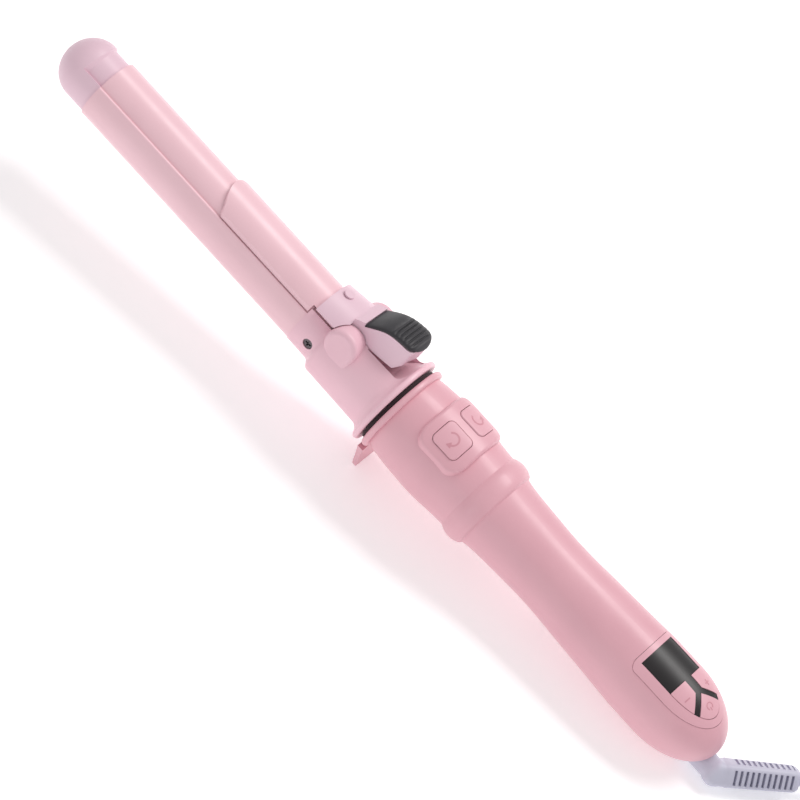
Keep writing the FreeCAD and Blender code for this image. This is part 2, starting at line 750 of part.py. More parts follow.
# ---- handle
def make_rest_stand():
    ring = tube(stand_front, housing_front, stand_radius, shaft_radius + 0.6)
    rims = [e for e in ring.Edges if e.Closed and abs(e.BoundBox.ZMax - stand_radius) < 0.01
            and e.BoundBox.XLength < 0.01]
    ring = ring.makeFillet(1.2, rims)
    drop = stand_height + 3.0
    root = stand_radius - 5.0
    lean = foot_lean * (drop - root) / (stand_height - root)
    half = foot_thick / 2
    middle = stand_front + stand_thick / 2
    side = loop([V(stand_front, 0, -root), V(housing_front, 0, -root),
                 V(housing_front, 0, 0.4 - stand_radius), V(middle + lean + half, 0, -drop),
                 V(middle + lean - half, 0, -drop)])
    tab = profile(side, -30, 30)
    half_shape = [(16.5, -root + 1), (13.5, -stand_radius - 3), (foot_half_width, -stand_height + 2),
                  (foot_half_width - 2, -drop)]
    shape = [(-y, z) for y, z in half_shape] + half_shape[::-1]
    front = Part.Face(Part.Wire(loop([V(0, y, z) for y, z in shape]))).extrude(V(40, 0, 0))
    front.translate(V(stand_front - 5, 0, 0))
    tab = tab.common(front)
    stand = ring.fuse(tab)
    floor = Part.makeBox(400, 400, 100, V(-200, -200, -100))
    return at_rest(stand).cut(floor)


def screw_stations():
    return [housing_end + 7.5, housing_end + 45.0]


def make_shells():
    outer = handle_form(0.0)
    inner = handle_form(wall).cut(block(housing_front - 1, housing_front + 1.6, -40, 40, -40, 40))
    pod = rounded_plan(pod_x, pod_x + pod_length, pod_half_width, 5.5, 8.0, 40)
    pod = pod.common(tube(pod_x - 1, pod_x + pod_length + 1, pod_radius))
    rim = [e for e in pod.Edges if e.BoundBox.ZMin > 13.0 and e.BoundBox.ZMax > 14.5]
    pod = pod.makeFillet(1.6, rim)
    shell = outer.fuse(pod).cut(inner)

    # bulkheads for the two bushings
    for x0, x1 in ((housing_front + 1.6, housing_front + 5.2), (rear_bushing_x, rear_bushing_x + 4.0)):
        plate = tube(x0, x1, 30.0).common(handle_form(wall * 0.5))
        shell = shell.fuse(plate)
    shell = shell.cut(tube(housing_front - 1, housing_front + 2.6, bushing_radius + bushing_rim))
    shell = shell.cut(tube(housing_front, rear_bushing_x + 5, bushing_radius))

    # socket for the cord's swivel
    socket = block(swivel_x0 + 2.6, handle_end, -12, 12, -30, -hub_offset + swivel_radius + 2.0)
    shell = shell.fuse(socket.common(handle_form(wall * 0.5)))
    shell = shell.cut(tube(swivel_x0 - 1, handle_end + 2, swivel_radius + running_gap, z=-hub_offset))

    # the motor's bed
    _, gearbox, can = make_motor()
    box = can.BoundBox
    x0 = gearbox.BoundBox.XMin
    bed = block(x0 - 0.2, box.XMax + 0.2, box.YMin, box.YMax, box.ZMin, box.ZMax)

    above = block(housing_front - 5, handle_end + 5, -50, 50, 0, 50)
    upper = shell.common(above)
    lower = shell.cut(above).cut(bed)
    for x in screw_stations():
        post = Part.makeCylinder(3.2, 40, V(x, 0, -20), V(0, 0, 1)).common(handle_form(wall * 0.5))
        hole = Part.makeCylinder(screw_radius, 40, V(x, 0, -20), V(0, 0, 1)).common(handle_form(wall + 0.8))
        sink = Part.makeCylinder(screw_head_radius + 0.3, 20, V(x, 0, screw_seat - 20), V(0, 0, 1))
        upper = upper.fuse(post.common(above)).cut(hole)
        lower = lower.fuse(post.cut(above)).cut(hole.fuse(sink))

    upper = upper.cut(bezel_form(bezel_gap, 40, 0.0))
    for side in (-1, 1):
        upper = upper.cut(about_axis(button_form(button_gap, 40.0), side * button_angle))
    return upper, lower


def make_shell_screws():
    screws = []
    for x in screw_stations():
        low = screw_seat - 1.4
        head = Part.makeCylinder(screw_head_radius, 1.4, V(x, 0, low), V(0, 0, 1))
        cross = block(x - 0.4, x + 0.4, -1.5, 1.5, low, low + 0.9)
        cross = cross.fuse(block(x - 1.5, x + 1.5, -0.4, 0.4, low, low + 0.9))
        shank = Part.makeCylinder(screw_radius, 22.0, V(x, 0, screw_seat), V(0, 0, 1))
        shank = shank.common(handle_form(wall + 0.8))
        screws.append(head.cut(cross).fuse(shank))
    return Part.makeCompound(screws)


# ---- rotate buttons
def button_form(gap, top):
    """The cap's straight-sided block, square to the display."""
    corner = 2.4 + gap
    form = rounded_plan(-button_length / 2 - gap, button_length / 2 + gap, button_width / 2 + gap, corner,
                        button_lip, top)
    form.translate(V(button_x, 0, 0))
    return form


def make_button(side):
    cap = button_form(0.0, button_radius + 2).common(tube(pod_x, pod_x + pod_length, button_radius))
    top = [e for e in cap.Edges if e.BoundBox.ZMin > button_lip + 3.0]
    cap = cap.makeFillet(0.7, top)
    stem = Part.makeCylinder(1.6, button_lip - button_stem, V(button_x, 0, button_stem), V(0, 0, 1))
    lip = rounded_plan(-button_length / 2 - 0.8, button_length / 2 + 0.8, button_width / 2 - 0.4, 2.0,
                       button_lip - 0.9, button_lip)
    lip.translate(V(button_x, 0, 0))
    return about_axis(cap.fuse(lip).fuse(stem), side * button_angle)


# ---- display and keys
def bezel_form(gap, top, bottom):
    """The display bezel's outline as an upright block."""
    half = bezel_half_width + gap
    x0 = dome_x - bezel_ahead - gap
    corner = 3.4 + gap
    a = V(dome_x, half, 0)
    b = V(x0 + corner, half, 0)
    c = V(x0, half - corner, 0)
    cut = corner * (1 - math.sqrt(0.5))
    end = Part.Ellipse(V(dome_x, 0, 0), bezel_behind + gap, half)
    end.XAxis = V(1, 0, 0)
    edges = [end.toShape(-math.pi / 2, math.pi / 2), line(a, b), arc(b, V(x0 + cut, half - cut, 0), c),
             line(c, V(c.x, -c.y, 0)), arc(V(c.x, -c.y, 0), V(x0 + cut, cut - half, 0), V(b.x, -b.y, 0)),
             line(V(b.x, -b.y, 0), V(a.x, -a.y, 0))]
    return plan(edges, bottom, top)


def panel_form(gap):
    """The window and keys together, as an upright block."""
    half = window_half_width + gap
    x0 = dome_x - window_ahead - gap
    end = Part.Ellipse(V(dome_x, 0, 0), keys_behind + gap, half)
    end.XAxis = V(1, 0, 0)
    edges = [end.toShape(-math.pi / 2, math.pi / 2), line(V(dome_x, half, 0), V(x0, half, 0)),
             line(V(x0, half, 0), V(x0, -half, 0)), line(V(x0, -half, 0), V(dome_x, -half, 0))]
    return plan(edges, 2.0, 40)


def window_form(gap):
    """The dark window with its stem and two arms, as an upright block."""
    x1 = dome_x - window_behind
    form = block(dome_x - window_ahead - 2, x1 + gap, -20, 20, 2.0, 40)
    stem = block(x1 - 1, x1 + stem_length + 1.0, -stem_half_width - gap, stem_half_width + gap, 2.0, 40)
    form = form.fuse(stem)
    for side in (-1, 1):
        arm = block(0, 30, -arm_width / 2 - gap, arm_width / 2 + gap, 2.0, 40)
        arm.rotate(V(0, 0, 0), V(0, 0, 1), side * arm_angle)
        arm.translate(V(x1 + stem_length, 0, 0))
        form = form.fuse(arm)
    return form


def skin(proud, depth):
    """A layer of the handle's surface, from proud of it down to depth."""
    return handle_form(-proud).cut(handle_form(depth))


def make_panel():
    """Bezel, window and the three keys."""
    above = block(dome_x - 30, handle_end + 5, -30, 30, 4.0, 50)
    bezel = skin(panel_proud, wall).common(bezel_form(0.0, 40, 4.0)).cut(panel_form(0.0))
    window = skin(0.0, wall).common(panel_form(0.0)).common(window_form(0.0)).common(above)
    layer = skin(panel_proud + 0.15, wall).common(panel_form(-panel_gap)).common(above)
    pieces = layer.cut(window_form(panel_gap)).Solids
    keys = {}
    for piece in pieces:
        y = piece.CenterOfMass.y
        name = "power_key" if abs(y) < 1.5 else ("plus_key" if y > 0 else "minus_key")
        keys[name] = piece
    return bezel, window, keys


def switch_places():
    """Where each key presses, with the key's name."""
    x = dome_x + 4.6
    return {"plus_key": (x, 6.4), "minus_key": (x, -6.4), "power_key": (dome_x + 12.2, 0.0)}


def finish_key(name, cap):
    """The key's stem down to its switch, with the travel left open."""
    x, y = switch_places()[name]
    foot = board_top + switch_height + key_travel + 0.1
    stem = Part.makeCylinder(1.1, 12, V(x, y, foot), V(0, 0, 1))
    stem = stem.common(handle_form(wall - 0.3))
    return cap.fuse(stem)


def make_boards():
    """The main board, its display module and the key switches; the rotate buttons' board and switches."""
    x0 = dome_x - 45.0
    board = block(x0, dome_x + 8.0, -8.6, 8.6, board_top - board_thick, board_top)
    board = board.fuse(block(dome_x + 8.0, dome_x + 15.0, -5.0, 5.0, board_top - board_thick, board_top))
    module = block(dome_x - window_ahead, dome_x - window_behind - 1.0, -8.4, 8.4, board_top, board_top + 3.0)
    switches = []
    for x, y in switch_places().values():
        switches.append(block(x - 2.2, x + 2.2, y - 2.2, y + 2.2, board_top, board_top + switch_height))
    top = button_board_top
    small = block(pod_x + 2.0, rear_bushing_x, -9.5, 9.5, top - board_thick, top)
    small_switches = []
    for side in (-1, 1):
        y = side * (button_stem + 0.5) * math.sin(math.radians(button_angle))
        switch = block(button_x - 2.2, button_x + 2.2, y - 2.2, y + 2.2, top, top + switch_height)
        small_switches.append(switch)
    chips = block(x0 + 6, x0 + 16, -3.5, 3.5, board_top, board_top + 1.4)
    can = Part.makeCylinder(3.0, 6.0, V(x0 + 22, 0, board_top - board_thick - 6.0), V(0, 0, 1))
    return (board, module, Part.makeCompound(switches), small, Part.makeCompound(small_switches),
            Part.makeCompound([chips, can]))


# ---- cord swivel
def boot_frame():
    """The elbow's place, and the boot's direction, along the tool."""
    a = math.radians(elbow_angle)
    t = math.radians(swivel_turn)
    elbow = V(handle_end + elbow_behind, 0, -hub_offset)
    along = V(math.cos(a), math.sin(a) * math.cos(t), math.sin(a) * math.sin(t))
    return elbow, along


def make_boot():
    elbow, along = boot_frame()
    hub = tube(swivel_x0, elbow.x, swivel_radius, z=-hub_offset)
    hub = hub.fuse(tube(swivel_x0, swivel_x0 + 2.0, swivel_radius + 0.7, z=-hub_offset))
    knee = Part.makeSphere(swivel_radius, elbow)
    boot = Part.makeCone(swivel_radius, boot_end_radius, boot_length, elbow, along)
    socket = Part.makeCylinder(cord_diameter / 2, cord_grip, elbow + along * (boot_length - cord_grip), along)
    return hub.fuse(knee).fuse(boot).cut(socket)


def make_contacts():
    """The swivel's centre pin and ring, and the springs that touch them."""
    pin = tube(swivel_x0 - 6.0, swivel_x0, 1.2, z=-hub_offset)
    sleeve = tube(swivel_x0 - 2.5, swivel_x0, 3.4, 2.6, z=-hub_offset)
    low = -hub_offset
    holder = block(swivel_x0 - 11.0, swivel_x0 - 7.5, -5.0, 5.0, low - 3.6, low + 3.6)
    finger = block(swivel_x0 - 7.5, swivel_x0 - 3.0, 1.3, 2.1, low - 1.0, low + 1.0)
    outer_finger = block(swivel_x0 - 7.5, swivel_x0 - 0.5, -4.3, -3.5, low - 1.0, low + 1.0)
    return pin, sleeve, holder, Part.makeCompound([finger, outer_finger])


# ---- cord, laid on the floor in the resting frame
lead_route = [V(203.19, 16.63, 7.49), V(216.1, 29.1, 8.7), V(227.4, 41.1, 6.7), V(237.6, 52.0, 3.5),
              V(249.0, 62.0, 2.6)]
tail_route = [V(307.1, 24.5, 18.2), V(304.4, 11.6, 17.6), V(297.6, -0.2, 14.4), V(287.2, -8.2, 10.4),
              V(275.6, -11.7, 7.6), V(264.0, -12.2, 6.6)]
coil_centre = V(274.0, 36.5, 0)


def cord_piece(name, route):
    """A length of cord: straight runs joined by arcs as large as the runs allow."""
    edges = []
    at = route[0]
    radii = []
    for before, corner, after in zip(route, route[1:], route[2:]):
        u = (corner - before).normalize()
        w = (after - corner).normalize()
        half_turn = u.getAngle(w) / 2
        reach = 0.45 * min((corner - before).Length, (after - corner).Length)
        radius = reach / math.tan(half_turn)
        radii.append(round(radius, 1))
        first = corner - u * reach
        last = corner + w * reach
        inward = (w - u).normalize()
        middle = corner + inward * (radius / math.cos(half_turn) - radius)
        edges.append(line(at, first))
        edges.append(arc(first, middle, last))
        at = last
    edges.append(line(at, route[-1]))
    path = Part.Wire(edges)
    ring = Part.Wire(Part.makeCircle(cord_diameter / 2, route[0], route[1] - route[0]))
    solid = path.makePipeShell([ring], True, True)
    section = math.pi * cord_diameter ** 2 / 4
    print(name, "radii", radii, "length", round(path.Length, 1), "volume ratio",
          round(solid.Volume / (section * path.Length), 4))
    return solid


def make_coil():
    """The outer shape of the wound cord, and the tie round it."""
    inner = coil_turn_radius - coil_width / 2
    outer = coil_turn_radius + coil_width / 2
    height = coil_layers * cord_diameter
    coil = Part.makeCylinder(outer, height, coil_centre).cut(Part.makeCylinder(inner, height, coil_centre))
    tie = Part.makeBox(outer - inner + 2 * tie_thick, tie_width, height + tie_thick,
                       V(inner - tie_thick, -tie_width / 2, 0))
    corner = V(inner, -tie_width / 2 - 1, tie_thick)
    hollow = Part.makeBox(outer - inner, tie_width + 2, height - tie_thick, corner)
    tie = tie.cut(hollow)
    tie.rotate(V(0, 0, 0), V(0, 0, 1), tie_angle)
    tie.translate(coil_centre)
    return coil.cut(tie), tie


def make_plug():
    """A moulded two-pin plug that lies flat, with its strain relief towards the cord."""
    end = tail_route[-1]
    relief = Part.makeCone(cord_diameter / 2 + 0.8, cord_diameter / 2 + 2.6, plug_relief, end, V(-1, 0, 0))
    x1 = end.x - plug_relief
    x0 = x1 - plug_length
    body = block(x0, x1, end.y - plug_width / 2, end.y + plug_width / 2, 0, 2 * end.z)
    body = body.makeFillet(3.0, body.Edges)
    pins = []
    for side in (-1, 1):
        foot = V(x0, end.y + side * plug_pin_pitch / 2, end.z)
        pin = Part.makeCylinder(plug_pin_radius, plug_pin_length, foot, V(-1, 0, 0))
        tip = [e for e in pin.Edges if e.Closed and e.BoundBox.XMax < x0 - 1]
        pins.append(pin.makeFillet(1.0, tip))
    return body.fuse(relief), Part.makeCompound(pins)


# ---- make and write
def main():
    os.makedirs("parts", exist_ok=True)

    head = {}
    head["cool_tip"] = make_cool_tip()
    head["tip_pins"] = tip_pin_group(0.0)
    head["barrel"] = make_barrel()
    head["heater_plate"], head["heater_wedges"], head["thermistor"], head["insulator_sleeve"] = make_heater()
    head["head_collar"] = make_collar()
    head["barrel_screws"] = make_barrel_screws()
    head["pivot_pin"] = make_pivot_pin()
    head["clamp_spring"] = make_clamp_spring()
    head["clamp_plate"] = make_clamp_plate()
    head["clamp_rivet"] = make_rivet()
    head["clamp_lever"] = make_clamp_lever()
    head["thumb_pad"] = make_thumb_pad()
    for name, shape in head.items():
        write(name, about_axis(shape, -head_turn))

    write("drive_shaft", make_drive_shaft())
    write("drive_gear", make_drive_gear())
    carrier, rings = make_slip_rings()
    write("slip_ring_carrier", carrier)
    write("slip_rings", rings)
    write("retaining_ring", tube(rear_bushing_x + bushing_length + 1.6, rear_bushing_x + bushing_length + 2.6,
                                 shaft_radius + 1.6, shaft_radius))

    write("front_bushing", make_bushing(housing_front + 1.0, -1))
    write("rear_bushing", make_bushing(rear_bushing_x, 1))
    holder, brushes = make_brushes()
    write("brush_block", holder)
    write("brushes", brushes)
    shaft, gearbox, can = make_motor()
    write("motor_pinion", make_pinion())
    write("motor_shaft", shaft)
    write("motor_gearbox", gearbox)
    write("motor_can", can)

    write("rest_stand", make_rest_stand(), laid=True)
    upper, lower = make_shells()
    write("upper_shell", upper)
    write("lower_shell", lower)
    write("shell_screws", make_shell_screws())
    write("rotate_left_button", make_button(1))
    write("rotate_right_button", make_button(-1))
    bezel, window, keys = make_panel()
    write("display_bezel", bezel)
    write("display_window", window)
    for name, cap in keys.items():
        write(name, finish_key(name, cap))
    board, module, switches, small, small_switches, chips = make_boards()
    write("main_board", board)
    write("display_module", module)
    write("key_switches", switches)
    write("board_parts", chips)
    write("button_board", small)
    write("button_switches", small_switches)

    write("swivel_boot", make_boot())
    pin, sleeve, holder, fingers = make_contacts()
    write("swivel_pin", pin)
    write("swivel_sleeve", sleeve)
    write("contact_holder", holder)
    write("contact_springs", fingers)

    coil, tie = make_coil()
    lead = cord_piece("cord_tube", lead_route).cut(coil).cut(at_rest(make_boot()))
    tail = cord_piece("cord_tail", tail_route).cut(coil)
    write("cord_tube", lead, laid=True)
    write("cord_tail", tail, laid=True)
    write("cord_coil", coil, laid=True)
    write("coil_tie", tie, laid=True)
    plug, pins = make_plug()
    write("plug_body", plug.cut(tail), laid=True)
    write("plug_pins", pins, laid=True)

    print("tilt", round(math.degrees(tilt), 3))
    print("tool axis", direction_at_rest(1, 0, 0), "through", point_at_rest(0, 0, 0))
    print("clamp pivot", point_at_rest(pivot_x, *turned_point(0, pivot_height)), "along",
          direction_at_rest(0, *turned_point(1, 0)))
    print("pinion", point_at_rest(gear_x, 0, -centre_distance))
    print("keys press", direction_at_rest(0, 0, -1))
    for side in (1, -1):
        a = math.radians(side * button_angle)
        print("button", side, "presses", direction_at_rest(0, math.sin(a), -math.cos(a)))
    print("swivel", point_at_rest(handle_end, 0, -hub_offset))
    elbow, along = boot_frame()
    end = elbow + along * boot_length
    print("boot end", point_at_rest(end.x, end.y, end.z))
    print("boot direction", direction_at_rest(along.x, along.y, along.z))


main()
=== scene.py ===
import json
import math

import bmesh
import bpy
from mathutils import Matrix, Vector


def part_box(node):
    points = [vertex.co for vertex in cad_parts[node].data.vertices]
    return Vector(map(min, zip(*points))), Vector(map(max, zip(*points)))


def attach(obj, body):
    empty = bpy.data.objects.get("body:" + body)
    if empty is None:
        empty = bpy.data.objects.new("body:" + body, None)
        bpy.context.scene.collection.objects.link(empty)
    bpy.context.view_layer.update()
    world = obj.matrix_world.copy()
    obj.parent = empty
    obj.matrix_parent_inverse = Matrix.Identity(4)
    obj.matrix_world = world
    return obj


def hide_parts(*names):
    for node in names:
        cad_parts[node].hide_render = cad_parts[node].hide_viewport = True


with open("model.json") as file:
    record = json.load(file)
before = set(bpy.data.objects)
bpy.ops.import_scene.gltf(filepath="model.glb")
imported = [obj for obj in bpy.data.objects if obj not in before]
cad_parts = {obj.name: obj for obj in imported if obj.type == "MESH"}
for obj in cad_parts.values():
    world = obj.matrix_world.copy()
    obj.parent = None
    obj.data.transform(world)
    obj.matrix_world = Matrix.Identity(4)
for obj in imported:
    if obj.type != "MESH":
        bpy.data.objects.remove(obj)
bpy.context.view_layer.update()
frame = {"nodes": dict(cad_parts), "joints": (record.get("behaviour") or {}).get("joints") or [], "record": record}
nodes = frame["nodes"]
joints = {joint["name"]: joint for joint in frame["joints"]}

# The tool's own frame: X runs from the tip to the cord, Z leaves through the display, in millimetres.
# toolPlace takes it to the resting place, lying on its stand foot and its grip.
along = Vector(joints["head_spin"]["axis"])
across = Vector((0, 1, 0))
upward = along.cross(across)
tipEnd = Vector(joints["head_spin"]["pos_m"])
toolTurn = Matrix((along, across, upward)).transposed().to_4x4()
toolPlace = Matrix.Translation(tipEnd) @ toolTurn @ Matrix.Scale(0.001, 4)
headTurn = 15.0  # degrees, from the display towards the far side
headPlace = toolPlace @ Matrix.Rotation(math.radians(-headTurn), 4, "X")
millimetres = Matrix.Scale(0.001, 4)


def srgb(red, green, blue):
    channels = []
    for value in (red, green, blue):
        share = value / 255
        channels.append(share / 12.92 if share <= 0.04045 else ((share + 0.055) / 1.055) ** 2.4)
    return (*channels, 1.0)


# shader groups, each built once and placed in several materials

def newGroup(name, inputs, outputs):
    group = bpy.data.node_groups.new(name, "ShaderNodeTree")
    for label, kind, value in inputs:
        socket = group.interface.new_socket(name=label, in_out="INPUT", socket_type=kind)
        if value is not None:
            socket.default_value = value
    for label, kind in outputs:
        group.interface.new_socket(name=label, in_out="OUTPUT", socket_type=kind)
    return group, group.nodes.new("NodeGroupInput"), group.nodes.new("NodeGroupOutput")


def noiseIn(tree, vector, scale, detail=2.0):
    noise = tree.nodes.new("ShaderNodeTexNoise")
    noise.inputs["Detail"].default_value = detail
    if isinstance(scale, (int, float)):
        noise.inputs["Scale"].default_value = scale
    else:
        tree.links.new(scale, noise.inputs["Scale"])
    tree.links.new(vector, noise.inputs["Vector"])
    return noise.outputs["Fac"]


def remap(tree, value, low, high, toLow, toHigh):
    node = tree.nodes.new("ShaderNodeMapRange")
    node.inputs["From Min"].default_value = low
    node.inputs["From Max"].default_value = high
    for label, limit in (("To Min", toLow), ("To Max", toHigh)):
        if isinstance(limit, (int, float)):
            node.inputs[label].default_value = limit
        else:
            tree.links.new(limit, node.inputs[label])
    tree.links.new(value, node.inputs["Value"])
    return node.outputs["Result"]


def blendColours(tree, factor, first, second):
    node = tree.nodes.new("ShaderNodeMix")
    node.data_type = "RGBA"
    tree.links.new(factor, node.inputs["Factor"])
    for socket, colour in ((node.inputs["A"], first), (node.inputs["B"], second)):
        if isinstance(colour, tuple):
            socket.default_value = colour
        else:
            tree.links.new(colour, socket)
    return node.outputs["Result"]


def twoNumbers(tree, operation, first, second):
    node = tree.nodes.new("ShaderNodeMath")
    node.operation = operation
    for socket, value in ((node.inputs[0], first), (node.inputs[1], second)):
        if isinstance(value, (int, float)):
            socket.default_value = value
        else:
            tree.links.new(value, socket)
    return node.outputs["Value"]


# moulded or sprayed skin: slow drift of the tint, a fine grain, and uneven gloss
def makeSkinGroup():
    group, given, out = newGroup(
        "mouldedSkin",
        [("Vector", "NodeSocketVector", None), ("Tint", "NodeSocketColor", None),
         ("Deep", "NodeSocketColor", None),
         ("Grain Scale", "NodeSocketFloat", 1800.0), ("Gloss Low", "NodeSocketFloat", 0.3),
         ("Gloss High", "NodeSocketFloat", 0.42)],
        [("Color", "NodeSocketColor"), ("Roughness", "NodeSocketFloat"), ("Height", "NodeSocketFloat")])
    vector = given.outputs["Vector"]
    drift = remap(group, noiseIn(group, vector, 28.0, 3.0), 0.3, 0.7, 0.0, 1.0)
    flecks = noiseIn(group, vector, 900.0, 1.0)
    shade = twoNumbers(group, "MULTIPLY_ADD", flecks, 0.22)
    group.links.new(twoNumbers(group, "MULTIPLY", drift, 0.7), shade.node.inputs[2])
    colour = blendColours(group, shade, given.outputs["Tint"], given.outputs["Deep"])
    handled = noiseIn(group, vector, 140.0, 4.0)
    gloss = remap(group, handled, 0.25, 0.75, given.outputs["Gloss Low"], given.outputs["Gloss High"])
    grain = noiseIn(group, vector, given.outputs["Grain Scale"], 2.0)
    group.links.new(colour, out.inputs["Color"])
    group.links.new(gloss, out.inputs["Roughness"])
    group.links.new(grain, out.inputs["Height"])
    return group


# turned, drawn or plated metal: fine lines round the tool's length, a little tarnish
def makeMetalGroup():
    group, given, out = newGroup(
        "workedMetal",
        [("Vector", "NodeSocketVector", None), ("Clean", "NodeSocketColor", None),
         ("Dull", "NodeSocketColor", None),
         ("Gloss Low", "NodeSocketFloat", 0.2), ("Gloss High", "NodeSocketFloat", 0.4)],
        [("Color", "NodeSocketColor"), ("Roughness", "NodeSocketFloat"), ("Height", "NodeSocketFloat")])
    stretch = group.nodes.new("ShaderNodeMapping")
    stretch.inputs["Scale"].default_value = (4000.0, 160.0, 160.0)
    group.links.new(given.outputs["Vector"], stretch.inputs["Vector"])
    lines = noiseIn(group, stretch.outputs["Vector"], 1.0, 2.0)
    tarnish = remap(group, noiseIn(group, given.outputs["Vector"], 220.0, 4.0), 0.35, 0.75, 0.0, 1.0)
    colour = blendColours(group, tarnish, given.outputs["Clean"], given.outputs["Dull"])
    group.links.new(colour, out.inputs["Color"])
    gloss = remap(group, lines, 0.3, 0.7, given.outputs["Gloss Low"], given.outputs["Gloss High"])
    group.links.new(gloss, out.inputs["Roughness"])
    group.links.new(lines, out.inputs["Height"])
    return group


# settled dust and finger marks, as one mask
def makeMarksGroup():
    group, given, out = newGroup(
        "handMarks",
        [("Vector", "NodeSocketVector", None), ("Amount", "NodeSocketFloat", 0.3)],
        [("Mask", "NodeSocketFloat")])
    smears = remap(group, noiseIn(group, given.outputs["Vector"], 60.0, 5.0), 0.5, 0.72, 0.0, 1.0)
    specks = remap(group, noiseIn(group, given.outputs["Vector"], 1500.0, 1.0), 0.66, 0.72, 0.0, 0.6)
    both = twoNumbers(group, "MAXIMUM", smears, specks)
    group.links.new(twoNumbers(group, "MULTIPLY", both, given.outputs["Amount"]), out.inputs["Mask"])
    return group


skinGroup = makeSkinGroup()
metalGroup = makeMetalGroup()
marksGroup = makeMarksGroup()


# the materials, one or more for each slot of the record

def startMaterial(name):
    material = bpy.data.materials.new(name)
    material.use_nodes = True
    tree = material.node_tree
    place = tree.nodes.new("ShaderNodeTexCoord").outputs["Object"]
    return material, tree, tree.nodes["Principled BSDF"], place


def useGroup(tree, group, place, **values):
    node = tree.nodes.new("ShaderNodeGroup")
    node.node_tree = group
    tree.links.new(place, node.inputs["Vector"])
    for label, value in values.items():
        node.inputs[label.replace("_", " ")].default_value = value
    return node


def raiseBump(tree, shader, height, distance, strength=1.0):
    bump = tree.nodes.new("ShaderNodeBump")
    bump.inputs["Distance"].default_value = distance
    bump.inputs["Strength"].default_value = strength
    tree.links.new(height, bump.inputs["Height"])
    tree.links.new(bump.outputs["Normal"], shader.inputs["Normal"])


def makePlastic(name, tint, deep, gloss, grain=1800.0, bump=0.00001, coat=0.0, marks=0.25, sheen=0.0):
    material, tree, shader, place = startMaterial(name)
    skin = useGroup(tree, skinGroup, place, Tint=tint, Deep=deep, Grain_Scale=grain,
                    Gloss_Low=gloss[0], Gloss_High=gloss[1])
    smears = useGroup(tree, marksGroup, place, Amount=marks)
    duller = twoNumbers(tree, "MULTIPLY_ADD", smears.outputs["Mask"], 0.2)
    tree.links.new(skin.outputs["Roughness"], duller.node.inputs[2])
    tree.links.new(duller, shader.inputs["Roughness"])
    tree.links.new(skin.outputs["Color"], shader.inputs["Base Color"])
    shader.inputs["Coat Weight"].default_value = coat
    shader.inputs["Coat Roughness"].default_value = 0.25
    shader.inputs["Sheen Weight"].default_value = sheen
    raiseBump(tree, shader, skin.outputs["Height"], bump)
    return material


def makeMetal(name, clean, dull, gloss, metallic=1.0):
    material, tree, shader, place = startMaterial(name)
    metal = useGroup(tree, metalGroup, place, Clean=clean, Dull=dull, Gloss_Low=gloss[0], Gloss_High=gloss[1])
    tree.links.new(metal.outputs["Color"], shader.inputs["Base Color"])
    tree.links.new(metal.outputs["Roughness"], shader.inputs["Roughness"])
    shader.inputs["Metallic"].default_value = metallic
    raiseBump(tree, shader, metal.outputs["Height"], 0.00001)
    return material


# the display's acrylic: nearly black, polished, with a faint smoky drift
def makeWindowBlack():
    material, tree, shader, place = startMaterial("displayAcrylic")
    smoke = remap(tree, noiseIn(tree, place, 60.0, 2.0), 0.3, 0.7, 0.0, 1.0)
    colour = blendColours(tree, smoke, srgb(14, 9, 12), srgb(22, 15, 19))
    tree.links.new(colour, shader.inputs["Base Color"])
    smears = useGroup(tree, marksGroup, place, Amount=0.5)
    tree.links.new(remap(tree, smears.outputs["Mask"], 0.0, 1.0, 0.42, 0.5), shader.inputs["Roughness"])
    shader.inputs["Coat Weight"].default_value = 0.15
    shader.inputs["Coat Roughness"].default_value = 0.3
    return material


# green fibreglass board with its faint weave and copper under the mask
def makeBoardGreen():
    material, tree, shader, place = startMaterial("boardGreen")
    tracks = tree.nodes.new("ShaderNodeTexWave")
    tracks.bands_direction = "Y"
    tracks.inputs["Scale"].default_value = 260.0
    tracks.inputs["Distortion"].default_value = 6.0
    tracks.inputs["Detail"].default_value = 1.0
    tree.links.new(place, tracks.inputs["Vector"])
    mask = remap(tree, tracks.outputs["Fac"], 0.62, 0.7, 0.0, 1.0)
    colour = blendColours(tree, mask, (0.02, 0.14, 0.06, 1), (0.05, 0.27, 0.12, 1))
    tree.links.new(colour, shader.inputs["Base Color"])
    tree.links.new(remap(tree, mask, 0.0, 1.0, 0.45, 0.3), shader.inputs["Roughness"])
    return material


